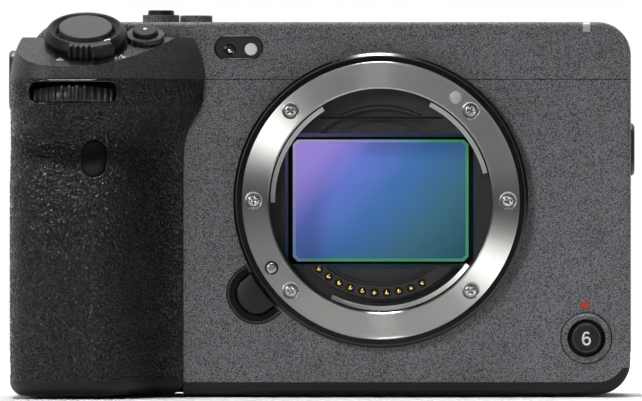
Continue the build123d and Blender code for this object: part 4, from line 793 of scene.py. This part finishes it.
# %% Ribbed wheels
def ribbed_wheel(name, radius, half, ribs, depth, place, hole, steps=10, share=0.55):
    """A wheel with rounded ribs, its rim eased at both edges."""
    lower = [(hole, -half), (radius - 1.2, -half), (radius - 0.35, -half + 0.05), (radius, -half + 0.40)]
    profile = lower + [(radius, 0.0)] + [(r, -h) for r, h in lower[::-1]]

    def shape(angle, r, h):
        if r < radius - 0.6:
            return r, h
        phase = abs((angle * ribs / (2 * pi)) % 1.0 - 0.5) * 2
        rise = min(max((phase - (1 - share)) / 0.22, 0.0), 1.0)
        return r - depth * (1 - rise), h

    wheel = swept(name, profile, place, ribs * steps, shape)
    keep_edges(wheel, 50)
    return wheel


AXLE, WHEEL_RADIUS, WHEEL_Z, WHEEL_LEAN = 2.06, 11.0, 62.1, radians(15.0)
wheel_axis = (0.0, sin(WHEEL_LEAN), cos(WHEEL_LEAN))
wheel_centre = (SLOT_X, nose(WHEEL_Z) - 0.9 + WHEEL_RADIUS * cos(WHEEL_LEAN),
                WHEEL_Z - WHEEL_RADIUS * sin(WHEEL_LEAN))
at_front = frame_at(wheel_centre, wheel_axis)
front_wheel = ribbed_wheel("front_wheel", WHEEL_RADIUS, 1.7, 42, 0.5, at_front, AXLE)
settle(front_wheel, "knurl_black", "front_dial", "front_dial")
low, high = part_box("rear_dial")
at_rear = frame_at((low + high) / 2 / MM, (0, 0, 1))
rear_wheel = ribbed_wheel("rear_wheel", 9.5, 2.0, 36, 0.42, at_rear, AXLE)
settle(rear_wheel, "knurl_black", "rear_dial", "rear_dial")
print("wheels:", len(front_wheel.data.vertices), len(rear_wheel.data.vertices), "points")

# %% [markdown]
# ## Lip of the dial slot
# A thin glossy bead runs round the slot where the leather ends. It is a tube that follows the slot's outline
# and lies on the grip's surface at every point.

# %% Tubes along a line
def tube(name, line, radius, closed=True, sides=8):
    """A round tube along a list of points."""
    points, count = [], len(line)
    for i, spot in enumerate(line):
        before = Vector(line[i - 1] if i or closed else line[0])
        after = Vector(line[(i + 1) % count] if i < count - 1 or closed else line[-1])
        ahead = (after - before).normalized()
        side = ahead.cross(Vector((0.0, 0.0, 1.0)))
        if side.length < 0.1:
            side = ahead.cross(Vector((1.0, 0.0, 0.0)))
        side.normalize()
        up = side.cross(ahead)
        for k in range(sides):
            angle = 2 * pi * k / sides
            points.append(Vector(spot) + radius * (cos(angle) * side + sin(angle) * up))
    faces = grid_faces(count, sides, closed=closed)
    if not closed:
        faces += [tuple(range(sides)), tuple((count - 1) * sides + k for k in range(sides))]
    return mesh_object(name, points, faces)


def dense_outline(width, height, corner, gap=0.4):
    """A rounded rectangle with points no further apart than a gap."""
    rough = rounded_outline(width, height, corner, 6)
    rough.append(rough[0])
    total = sum(((b[0] - a[0]) ** 2 + (b[1] - a[1]) ** 2) ** 0.5 for a, b in zip(rough, rough[1:]))
    return even_points(rough, int(total / gap) + 1)[:-1]


slot_line = [(SLOT_X + u, grip_front(SLOT_X + u, SLOT_Z + v) - 0.02, SLOT_Z + v)
             for u, v in dense_outline(SLOT_W - 0.1, SLOT_H - 0.1, SLOT_CORNER)]
settle(tube("dial_slot_lip", slot_line, 0.26), "gloss_black", "camera")
print("lip:", len(slot_line), "steps")

# %% [markdown]
# ## Infrared window
# A smooth dark capsule sits flush in the leather. It is a patch of the grip's own surface, set back a little,
# with a fine groove round it where the leather stops.

# %% Infrared window
def welded(mesh, distance=0.000001):
    """A mesh opened for reading or change, with the corners that lie on one another merged."""
    shape = bmesh.new()
    shape.from_mesh(mesh)
    bmesh.ops.remove_doubles(shape, verts=shape.verts, dist=distance)
    return shape


RINGS, GAP, SET_BACK, EDGE_DROP, EDGE_WIDTH = 7, 0.24, 0.02, 0.10, 0.15
eye_outline = dense_outline(EYE_W - GAP, EYE_H - GAP, (EYE_W - GAP) / 2 - 0.01, 0.3)
eye_points = []
for ring in range(RINGS):
    share = ring / (RINGS - 1)
    for u, v in eye_outline:
        x, z = EYE_X + u * share, EYE_Z + v * share
        drop = EDGE_DROP * max(0.0, share - (1 - EDGE_WIDTH)) / EDGE_WIDTH
        eye_points.append((x, grip_front(x, z) + SET_BACK + drop, z))
for u, v in eye_outline:
    x, z = EYE_X + u, EYE_Z + v
    eye_points.append((x, grip_front(x, z) + 1.0, z))
n = len(eye_outline)
eye_faces = grid_faces(RINGS + 1, n) + [tuple(RINGS * n + i for i in range(n))]
eye = mesh_object("infrared_window", eye_points, eye_faces)
whole = welded(eye.data)
whole.to_mesh(eye.data)
whole.free()
settle(eye, "window_infrared", "camera", "remote_window")
print("window:", len(eye.data.vertices), "points")

# %% [markdown]
# ## Helpers for small parts
# Trims, caps and marks are mostly flat outlines with eased edges. A stack of outlines, each a little smaller
# than the one below, gives a plate whose edge catches light. Printed marks are ribbons a few hundredths of a
# millimetre thick, so that they look printed and still exist in the model.

# %% Stacked outlines
def stacked(name, levels, place, smooth=False):
    """A solid skinned over outlines of equal length, each with its own depth."""
    n, points = len(levels[0][0]), []
    for outline, depth in levels:
        points += [place(u, v, depth) for u, v in outline]
    last = (len(levels) - 1) * n
    faces = grid_faces(len(levels), n) + [tuple(range(n)), tuple(last + i for i in range(n))]
    return mesh_object(name, points, faces, smooth)


def ring_plate(name, outside, inside, low, high, place):
    """A flat ring between two outlines of equal length."""
    points = [place(u, v, d) for outline, d in ((outside, low), (outside, high), (inside, high), (inside, low))
              for u, v in outline]
    return mesh_object(name, points, grid_faces(4, len(outside), closed=True), smooth=False)


print("outline helpers ready")

# %% Plain lines
def circle(radius, steps=64):
    """Points of a circle about the origin."""
    return [(radius * cos(2 * pi * i / steps), radius * sin(2 * pi * i / steps)) for i in range(steps)]


def arc(radius, start, end, steps=24):
    """Points of an arc about the origin, in degrees."""
    return [(radius * cos(radians(start + (end - start) * i / steps)),
             radius * sin(radians(start + (end - start) * i / steps))) for i in range(steps + 1)]


def rectangle(left, bottom, right, top):
    """The four corners of a rectangle."""
    return [(left, bottom), (right, bottom), (right, top), (left, top)]


def turned(line, angle):
    """The same points, turned about the origin."""
    return [(u * cos(angle) - v * sin(angle), u * sin(angle) + v * cos(angle)) for u, v in line]


print("a circle has", len(circle(1.0)), "points and an arc", len(arc(1.0, 0, 90)))

# %% Ribbons and joined pieces
def ribbon(name, line, width, place, lift=0.0, thick=0.03):
    """A flat printed line along points (u, v), just above the surface."""
    points, count = [], len(line)
    for i, (u, v) in enumerate(line):
        a, b = line[max(i - 1, 0)], line[min(i + 1, count - 1)]
        run = Vector((b[0] - a[0], b[1] - a[1])).normalized()
        for side, depth in ((1, lift), (1, lift + thick), (-1, lift + thick), (-1, lift)):
            points.append(place(u - side * run.y * width / 2, v + side * run.x * width / 2, depth))
    ends = [(0, 1, 2, 3), tuple(4 * count - 4 + k for k in range(4))]
    return mesh_object(name, points, grid_faces(count, 4) + ends, smooth=False)


def joined(name, pieces):
    """One object from several."""
    whole = bmesh.new()
    for piece in pieces:
        whole.from_mesh(piece.data)
        bpy.data.objects.remove(piece)
    mesh = bpy.data.meshes.new(name)
    whole.to_mesh(mesh)
    whole.free()
    obj = bpy.data.objects.new(name, mesh)
    bpy.context.collection.objects.link(obj)
    return obj


print("ribbons ready")

# %% Places on the walls
def front_at(x, z, y):
    """A place on the front wall: u to the right, v up, w out of the wall."""
    return lambda u, v, w: (x + u, y - w, z + v)


def round_lens(angle, radius, y):
    """A place on a front wall, at an angle and a distance from the lens axis."""
    return front_at(radius * cos(radians(angle)), LENS_Z + radius * sin(radians(angle)), y)


def back_at(x, z, y):
    """A place on the rear wall, seen from behind: u to the right of that view."""
    return lambda u, v, w: (x - u, y + w, z + v)


def upward_at(x, y, z):
    """A place on the top: u to the right, v to the rear, w up."""
    return lambda u, v, w: (x + u, y + v, z + w)


def downward_at(x, y, z):
    """A place on the underside."""
    return lambda u, v, w: (x + u, y - v, z - w)


print("a place on the front wall:", front_at(0.0, LENS_Z, FRONT)(1.0, 2.0, 0.5))

# %% Thin discs
def disc_mark(name, place, radius, thick=0.03, dome=0.0):
    """A thin disc, flat or slightly domed."""
    profile = [(0.01, thick + dome), (radius * 0.5, thick + dome * 0.75), (radius * 0.85, thick + dome * 0.25),
               (radius, thick * 0.5), (radius, 0.0), (0.01, 0.0)]
    return swept(name, profile, place, 40, closed=False)


print("discs ready")

# %% [markdown]
# ## Screws of the mount
# Six countersunk screws hold the flange. Each is turned first, then a cross is cut into its head with a
# boolean, as the real recess is punched. No two crosses point the same way on a real camera. A cone of bare
# steel shows round each head, where the flange is countersunk.

# %% Mount screws
def cross_screw(name, place, radius, depth, turn, recess=0.42):
    """A screw head with a cross recess; its top face is at w = 0."""
    profile = [(0.02, 0.0), (radius * 0.78, -0.02), (radius * 0.94, -0.09), (radius, -0.22), (radius, -depth),
               (0.02, -depth)]
    head = swept(name, profile, place, 40, closed=False)
    reach, half = radius * 0.64, radius * 0.15
    spokes = []
    for quarter in (0, pi / 2):
        bar = turned(rectangle(-reach, -half, reach, half), turn + quarter)
        narrow = [(0.7 * u, 0.7 * v) for u, v in bar]
        spokes.append(stacked(name + "_cut", [(bar, 0.1), (bar, -0.05), (narrow, -recess)], place))
    cut_away(head, *spokes)
    return head


FLANGE_Y, SCREW_CIRCLE, SCREW_ANGLES = -28.0, 26.2, (0, 45, 135, 180, 225, 315)
SEAT_PROFILE = [(1.24, -0.62), (1.34, -0.46), (1.72, -0.03), (1.84, -0.03), (1.84, -0.68), (1.24, -0.68)]
heads = [cross_screw("mount_screw", round_lens(angle, SCREW_CIRCLE, FLANGE_Y + 0.10), 1.18, 2.6, turn, 0.5)
         for angle, turn in zip(SCREW_ANGLES, (0.3, 1.1, 0.7, 0.1, 1.3, 0.9))]
settle(joined("flange_screws", heads), "screw_steel", "camera", "mount_screws")
seats = [swept("seat", SEAT_PROFILE, round_lens(angle, SCREW_CIRCLE, FLANGE_Y), 48) for angle in SCREW_ANGLES]
settle(joined("screw_seats", seats), "screw_steel", "camera")
print("screws:", len(heads))

# %% [markdown]
# ## Marks and edges of the mount
# A pale dot shows where the lens goes on, the lock pin runs in a dark bush, and a dark gap separates each
# bayonet tab from the flange. The flange ends in a bright turned rim, and a fine raised line of grey metal on
# the black surround is a painted highlight.

# %% Mount marks
dot = disc_mark("lens_index", round_lens(54.0, SCREW_CIRCLE, FLANGE_Y), 1.25, 0.03, 0.16)
settle(dot, "mark_pearl", "camera")
at_pin = round_lens(211.7, 26.4, FLANGE_Y)
bush = ring_plate("lock_pin_bush", circle(1.42, 48), circle(1.12, 48), -0.01, 0.03, at_pin)
settle(bush, "inner_black", "camera")
gaps = [prism("tab_gap", arc(23.04, start, end, 60) + arc(22.72, start, end, 60)[::-1], 0.0, 0.04,
              front_at(0, LENS_Z, -25.2))
        for start, end in ((14.6, 62.9), (122.0, 181.0), (243.0, 323.6))]
settle(joined("tab_gaps", gaps), "inner_black", "camera")
on_mount = frame_at((0, FLANGE_Y, LENS_Z), (0, -1, 0))
# The grey metal line on the black surround is a painted highlight.
for name, finish, profile in (
        ("flange_rim", "mount_steel",
         [(28.30, -0.30), (28.30, 0.0), (28.50, 0.0), (28.58, -0.08), (28.58, -0.30)]),
        ("surround_highlight", "lug_alloy", [(29.62, -0.82), (29.70, -0.74), (29.80, -0.74), (29.88, -0.82)])):
    settle(swept(name, profile, on_mount, 192), finish, "camera")
print("mount marks done")

# %% [markdown]
# ## Contact block
# The contacts sit in a black block shaped like the lower part of a ring, cut off level under the sensor. The
# same curve makes the bed and the raised block. Each contact is a gilt ball-ended pin in a dark well, so the
# wells are cut through the block and its bed, and the pins stay separate, because a lens pushes them in.

# %% Contact block
def smile(inner, outer, top, steps=40):
    """The part of a ring about the lens axis that lies below a height, as points about that axis."""
    drop = LENS_Z - top
    first, last = [degrees(asin(drop / r)) for r in (outer, inner)]
    return arc(outer, 180 + first, 360 - first, steps) + arc(inner, 180 + last, 360 - last, steps)[::-1]


CHAMBER_Y = -22.4
PIN_PROFILE = [(0.01, 2.70), (0.18, 2.67), (0.36, 2.56), (0.50, 2.38), (0.57, 2.15), (0.57, 0.9), (0.01, 0.9)]
lens_face = front_at(0, LENS_Z, CHAMBER_Y)
bed_line, block_line = smile(17.0, 20.95, 26.85), smile(17.7, 20.45, 26.45)
bed = stacked("contact_bed", [(bed_line, 0.0), (bed_line, 0.55), (smile(17.12, 20.85, 26.75), 0.65)], lens_face)
settle(bed, "chamber_black", "camera")
block = stacked("contact_block_body", [(block_line, 0.60), (block_line, 1.75), (smile(17.9, 20.25, 26.25), 2.0)],
                lens_face)
spots = [round_lens(228.0 + 7.63 * i, 19.05, CHAMBER_Y) for i in range(10)]
for pierced in (block, bed):
    cut_away(pierced, *[prism("well", circle(0.80, 28), -0.1, 2.6, spot) for spot in spots])
settle(block, "chamber_black", "camera", "contact_block")
pins = [swept("contact_pin", PIN_PROFILE, spot, 28, closed=False) for spot in spots]
settle(joined("contact_balls", pins), "contact_gold", "contact_pins", "contact_pins")
print("contacts:", len(pins))

# %% [markdown]
# ## Sensor
# The sensor is a sheet of glass over a microscopic grid that splits light into colours, much as a soap film
# does. The colour follows the angle of the light, which one view freezes into a smooth run from violet to
# green, so two colour ramps across the plate paint that reflected colour, brightest at the upper left: one for
# the face and one for the ground edge. Part of the colour is a painted glow, since a plain surface in a dark
# chamber can't send back as much light.

# %% Sensor glass
def clipped(width, height, cut):
    """A rectangle with its corners cut off."""
    w, h = width / 2, height / 2
    return [(w, -h + cut), (w, h - cut), (w - cut, h), (-w + cut, h), (-w, h - cut), (-w, -h + cut),
            (-w + cut, -h), (w - cut, -h)]


sensor_face = front_at(0, LENS_Z, -9.2)
whole, ground = clipped(36.5, 25.3, 1.0), clipped(35.3, 24.1, 0.8)
stack = stacked("sensor_edge_glass", [(whole, 0.0), (whole, 0.55), (ground, 0.79)], sensor_face)
settle(stack, "sensor_edge", "sensor", "image_sensor")
settle(stacked("sensor_face", [(ground, 0.74), (ground, 0.80)], sensor_face), "sensor_glass", "sensor")
print("sensor:", len(stack.data.polygons), "faces")

# %% [markdown]
# ## Light baffle
# Behind the mount a black frame stops stray light. Its face has a curved lip at the top, a groove across it
# and ridges beside the gate. They hardly show, but without them the tunnel looks like a flat hole.

# %% Light baffle
LIP_Y = CHAMBER_Y - 0.05
lips = [tube("baffle", [(u, LIP_Y, 41.8 + v) for u, v in arc(17.8, 62, 118, 40)], 0.11, closed=False),
        tube("baffle", [(-12.6 + 0.5 * i, LIP_Y, 57.07) for i in range(52)], 0.16, closed=False)]
settle(joined("baffle_grooves", lips), "inner_black", "camera")
panels = [prism("panel", rectangle(x - 0.4, -11.0, x + 0.4, 11.0), 0.0, 0.2, lens_face) for x in (-20.2, 20.2)]
settle(joined("baffle_panels", panels), "chamber_black", "camera")
print("baffle done")

# %% [markdown]
# ## Lens release button
# The button is a soft-cornered bar that points at the lens, cut off by the curve of the surround. Its
# outline is a rounded bar whose inner end follows that circle; smaller copies of it give the eased edge. A
# black ring of painted shade with a fine raised bead runs round it, standing for the shade of a shallow well.

# %% Lens release
def release_line(spread, count=90):
    """Outline of the lens release button grown by a spread, about the lens axis."""
    length, half = 13.0 + spread, 4.1 + spread
    bar = rounded_outline(length, 2 * half, min(3.7 + spread, half - 0.01), 16)
    bar = even_points(bar + [bar[0]], 400)[:-1]
    middle, tilt, rim = 23.0 + length / 2, radians(217.0), 30.75
    kept = []
    for (u, v), (x, z) in zip(bar, turned([(middle + u, v) for u, v in bar], tilt)):
        if (x * x + z * z) ** 0.5 > rim:
            kept.append((atan2(v, u), (x, z)))
    kept = [spot for turn, spot in sorted(kept)]
    low, high = [degrees(atan2(v, u)) % 360 for u, v in (kept[0], kept[-1])]
    return even_points(kept + arc(rim, high, low, 14) + [kept[0]], count + 1)[:-1]


front_wall = front_at(0, LENS_Z, FRONT)
EASING = ((0.0, -1.5), (0.0, 1.25), (-0.22, 1.55), (-0.65, 1.70))
levels = [(release_line(spread), depth) for spread, depth in EASING]
cap = stacked("release_cap", levels, front_wall)
keep_edges(cap, 30)
settle(cap, "button_black", "lens_release", "lens_release_button")
# A flat black ring round the button: painted shade of a shallow well.
well_shade = ring_plate("release_well_shade", release_line(2.15), release_line(0.30), -0.01, 0.02, front_wall)
settle(well_shade, "inner_black", "camera")
bead_line = [(u, FRONT - 0.02, LENS_Z + v) for u, v in release_line(1.70, 160)]
settle(tube("release_bead", bead_line, 0.15), "button_grey", "camera")
print("lens release:", len(cap.data.polygons), "faces")

# %% [markdown]
# ## Window in the front
# Behind a smoked window sit a small camera eye and a white lamp. The window stands a little back from the
# wall, inside a thin polished edge; the eye is a nest of rings with a bead of glass in the middle.

# %% Front window
WINDOW_X, WINDOW_Z, GLASS_Y = -29.3, 71.5, -23.66
EYE_SPOT = (-31.09, 70.95)
window_outline = dense_outline(10.0, 4.7, 2.34, 0.25)
edge = tube("window_edge", [(WINDOW_X + u, FRONT, WINDOW_Z + v) for u, v in window_outline], 0.13)
settle(edge, "gloss_black", "camera")
eye_at = front_at(*EYE_SPOT, GLASS_Y)
eye_ring = swept("eye_ring", [(0.62, 0.0), (0.62, 0.10), (1.0, 0.14), (1.25, 0.08), (1.32, 0.0)], eye_at, 64)
settle(eye_ring, "gloss_black", "camera")
for name, finish, place, radius, thick, dome in (
        ("eye_glass", "eye_silver", eye_at, 0.52, 0.04, 0.16),
        ("eye_pupil", "gloss_black", front_at(*EYE_SPOT, GLASS_Y - 0.16), 0.17, 0.05, 0.03),
        ("window_lamp", "mark_white", front_at(-26.76, 71.2, GLASS_Y), 1.27, 0.05, 0.10)):
    settle(disc_mark(name, place, radius, thick, dome), finish, "camera")
print("window done")

# %% [markdown]
# ## Small button and marks on the deck
# The round button stands in a collar with a polished rim and carries a white dot; a thin steel ring on the
# rim's crest is a painted highlight. Two plain signs printed beside the zoom ring show which way is wide and
# which way is close.

# %% Deck button
BUTTON_SPOT = (12.7, -48.3)
RIM_PROFILE = [(2.80, 0.60), (2.80, 0.95), (3.10, 1.00), (3.50, 1.16), (3.72, 1.22), (3.86, 1.12), (3.88, 0.85),
               (3.80, 0.45), (3.86, 0.05), (3.60, 0.05)]
CAP_PROFILE = [(0.02, 2.33), (2.1, 2.32), (2.42, 2.27), (2.58, 2.12), (2.63, 1.9), (2.63, -0.55), (0.02, -0.55)]
on_button = frame_at(deck_point(*BUTTON_SPOT), DECK_NORMAL)
settle(swept("button_rim", RIM_PROFILE, on_button), "satin_black", "camera")
# A thin steel ring on the crest of the rim: a painted highlight.
settle(swept("button_rim_highlight", [(3.60, 1.18), (3.70, 1.26), (3.80, 1.18)], on_button), "insert_steel", "camera")
cap = swept("deck_button", CAP_PROFILE, on_button, 72, closed=False)
settle(cap, "button_black", "top_button", "top_button")
spot = frame_at(deck_point(*BUTTON_SPOT, 2.31), DECK_NORMAL)
dot = disc_mark("deck_button_dot", lambda u, v, w: spot(u - 0.05, v + 0.3, w), 0.42)
settle(dot, "mark_white", "top_button")
print("deck button:", len(cap.data.polygons), "faces")

# %% Deck marks
for name, width, spot, lines in (
        ("wide_mark", 0.50, (3.5, -65.5), [[(-0.75, -0.5), (0.75, -0.5)], [(0.0, -0.5), (0.0, 0.6)]]),
        ("close_mark", 0.45, (4.4, -53.3),
         [[(-1.05, -0.8), (-0.65, 0.6), (-0.2, -0.5), (0.2, 0.8), (0.7, -0.5), (1.05, 0.1)]])):
    at = frame_at(deck_point(*spot), DECK_NORMAL)
    settle(joined(name, [ribbon(name, line, width, at, 0.0, 0.05) for line in lines]), "mark_white", "camera")
print("deck marks done")

# %% [markdown]
# ## Edge of the deck
# A moulded edge catches a fine line of light where the deck turns down to its front wall. A thin grey bead,
# lighter than the deck, paints that line as a painted highlight. It lies on the CAD model's own crease: the
# edges between a face level with the deck and a face that leans forward.

# %% Deck edge
level, spots = Vector(DECK_NORMAL), {}
deck = welded(nodes["grip_deck"].data)
for edge in deck.edges:
    flat = [face for face in edge.link_faces if face.normal.dot(level) > 0.9995]
    lean = [face for face in edge.link_faces if face.normal.dot(level) < 0.9 and face.normal.y < -0.25]
    if flat and lean:
        for corner in edge.verts:
            spots[corner.index] = tuple(corner.co / MM)
deck.free()
highlight_line = [spot for spot in sorted(spots.values()) if spot[2] > SEAM + 1.5]
# The bead is lighter than the deck: a painted highlight along the edge.
settle(tube("deck_edge_highlight", highlight_line, 0.08, closed=False, sides=6), "button_grey", "camera")
print("deck edge:", len(highlight_line), "points", highlight_line[:1], highlight_line[-1:])

# %% [markdown]
# ## Record button on the front
# A speckled collar, a black moat and a black cap with a plain numeral. The black ring laid in the moat is
# painted shade, and the grey ring on the cap's edge is a painted highlight. The numeral is drawn as one bent
# line of even width, the way a stencil is cut, and printed on the cap so that it moves with it.

# %% Front record button
RECORD_X, RECORD_Z, RECORD_CAP_Y = 42.4, 11.6, -25.3
rec_at = front_at(RECORD_X, RECORD_Z, FRONT)
# The black ring in the moat is painted shade.
for name, outside, inside, depth in (("record_moat_shade", circle(3.93), circle(3.27), 0.24),
                                     ("collar_line", circle(5.36, 96), circle(5.14, 96), 0.03)):
    settle(ring_plate(name, outside, inside, 0.0, depth, rec_at), "inner_black", "camera")
# A grey ring on the cap's edge: a painted highlight.
rim = swept("record_rim_highlight", [(2.66, 1.27), (2.76, 1.335), (2.86, 1.30), (2.80, 1.24)], rec_at, 96)
settle(rim, "button_grey", "record_button_front")
SIX = [(0.52, 0.98), (0.30, 1.20), (0.02, 1.26), (-0.35, 1.12), (-0.62, 0.72), (-0.74, 0.15), (-0.73, -0.38),
       (-0.60, -0.85), (-0.32, -1.14), (0.02, -1.24), (0.36, -1.14), (0.62, -0.88), (0.72, -0.50), (0.64, -0.10),
       (0.38, 0.16), (0.04, 0.24), (-0.32, 0.14), (-0.60, -0.14), (-0.73, -0.44)]
numeral = ribbon("numeral", SIX, 0.40, front_at(RECORD_X, RECORD_Z - 0.05, RECORD_CAP_Y))
settle(numeral, "mark_white", "record_button_front")
settle(disc_mark("record_mark", front_at(42.2, 18.4, FRONT), 0.85, 0.03), "record_red", "camera")
print("record button done")

# %% [markdown]
# ## Seams between the covers
# Each joint between two mouldings shows as a fine dark line. A narrow black strip laid in the joint gives
# the line its width without touching the covers.

# %% Seams
SEAM_HALF, SIDE_X, REAR_Y = 0.08, 51.5, 19.9
strips = [prism("seam", rectangle(start, -SEAM_HALF, end, SEAM_HALF), low, low + 0.12, place)
          for start, end, low, place in (
              (-36.2, 50.9, FRONT - 0.02, lambda u, v, d: (u, d, SEAM + v)),
              (-23.2, 17.8, SIDE_X, lambda u, v, d: (d, u, SEAM + v)),
              (6.0, SEAM, SIDE_X, lambda u, v, d: (d, v, u)),
              (-69.5, 49.2, REAR_Y, lambda u, v, d: (u, d, SEAM + v)))]
settle(joined("cover_seams", strips), "inner_black", "camera")
print("seams:", len(strips))

# %% [markdown]
# ## Threads
# The threaded holes take a quarter-inch screw with 20 turns to the inch, so the pitch is 1.27 mm. A fine
# helical wire laid against the wall of each bore shows the crest of the thread, and a low steel collar rings
# the three bores of the top and the one below.

# %% Threads in the bores
def thread_wire(place, radius=2.58, pitch=1.27, depth=5.4, steps=40):
    """A helix down a bore whose mouth is at w = 0."""
    line = [place(radius * cos(2 * pi * i / steps), radius * sin(2 * pi * i / steps), -0.2 - pitch * i / steps)
            for i in range(int(depth / pitch * steps))]
    return tube("thread", line, 0.16, closed=False, sides=6)


TOP_Z, LEFT_LUG_X, RIGHT_LUG_X = 76.8, -77.05, 52.65
flat_bores = [upward_at(x, y, TOP_Z) for x, y in ((-22.0, -13.0), (24.0, -13.0), (40.0, 8.0))]
flat_bores.append(downward_at(0, 0, 0))
lug_bores = [frame_at((LEFT_LUG_X, LUG_Y, LEFT_LUG_Z), (-1, 0, 0), (0, 1, 0)),
             frame_at((RIGHT_LUG_X, LUG_Y, RIGHT_LUG_Z), (1, 0, 0), (0, 1, 0))]
settle(joined("bore_threads", [thread_wire(bore) for bore in flat_bores + lug_bores]), "insert_steel", "camera")
COLLAR_PROFILE = [(2.66, -0.02), (2.80, 0.035), (3.05, 0.035), (3.12, -0.02)]
collars = [swept("bore_collar", COLLAR_PROFILE, bore, 72) for bore in flat_bores]
settle(joined("bore_collars", collars), "insert_steel", "camera")
print("threads:", len(flat_bores) + len(lug_bores))

# %% [markdown]
# ## Shoe, screws and underside
# The shoe has a thin spring that presses on a foot slid into it, held by four small screws. The covers are
# screwed together from below and behind; each head lies in its seat just under the surface.

# %% Shoe spring and screws
SHOE_Z, REAR_WALL_Y = 73.0, 20.0
leaf = rounded_outline(15.6, 14.0, 1.2)
spring = stacked("shoe_spring", [(leaf, 0.0), (leaf, 0.22), (rounded_outline(15.3, 13.7, 1.1), 0.28)],
                 upward_at(0, -2.0, SHOE_Z))
settle(spring, "screw_steel", "camera")
shoe_screws = [cross_screw("shoe_screw", upward_at(x, y, SHOE_Z + 0.62), 1.0, 0.34, 0.4 + x * y, 0.22)
               for x in (-4.6, 4.6) for y in (-6.0, 3.0)]
settle(joined("shoe_screws", shoe_screws), "screw_steel", "camera")
BASE_SPOTS = ((-38.0, -14.0), (46.0, -10.0), (44.0, 15.5), (-20.0, 15.0), (16.0, -19.0))
base_screws = [cross_screw("base_screw", downward_at(*spot, 0.0), 1.25, 0.5, 0.5 * i)
               for i, spot in enumerate(BASE_SPOTS)]
settle(joined("base_screws", base_screws), "lug_alloy", "camera")
REAR_SPOTS = ((49.0, 9.5), (-71.0, 60.5), (-70.5, 5.6), (49.0, 60.5))
rear_screws = [cross_screw("rear_screw", back_at(*spot, REAR_WALL_Y), 1.1, 0.4, 0.7 * i)
               for i, spot in enumerate(REAR_SPOTS)]
settle(joined("rear_screws", rear_screws), "lug_alloy", "camera")
print("screws below and behind:", len(base_screws) + len(rear_screws))

# %% [markdown]
# ## Back of the camera
# The screen sits behind glass with a black border. The wheel has raised arrows, the joystick has a ring of
# dots for grip, and the buttons carry plain signs: three lines for the menu and a triangle for playback.

# %% Rear details
border = ring_plate("screen_border", rounded_outline(63.4, 47.4, 1.2), rounded_outline(59.0, 43.0, 0.5),
                    0.0, 0.03, back_at(2.5, 35.4, 29.76))
settle(border, "inner_black", "monitor")
BUTTON_Y, WHEEL_SPOT, STICK_SPOT = 20.9, (-56.0, 28.0), (-45.0, 50.0)
play_at, menu_at = back_at(-66.5, 11.5, BUTTON_Y), back_at(-44.0, 60.0, BUTTON_Y)
triangle = prism("play_sign", [(-0.65, -0.85), (0.95, 0.0), (-0.65, 0.85)], 0.0, 0.03, play_at)
settle(triangle, "mark_white", "playback_button")
lines = [ribbon("menu_sign", [(-0.95, v), (0.95, v)], 0.24, menu_at) for v in (-0.6, 0.0, 0.6)]
settle(joined("menu_sign", lines), "mark_white", "menu_button")
tip = [(-0.6, 6.3), (0.0, 7.2), (0.6, 6.3)]
arrows = [ribbon("arrow", turned(tip, quarter * pi / 2), 0.24, back_at(*WHEEL_SPOT, 21.4))
          for quarter in range(4)]
settle(joined("wheel_arrows", arrows), "mark_white", "control_wheel")
places = [(STICK_SPOT[0] + u, STICK_SPOT[1] + v) for u, v in circle(1.7, 8)]
dots = [disc_mark("grip_dot", back_at(*place, 22.58), 0.22, 0.03) for place in places]
settle(joined("stick_dots", dots), "lug_alloy", "joystick")
print("rear details done")
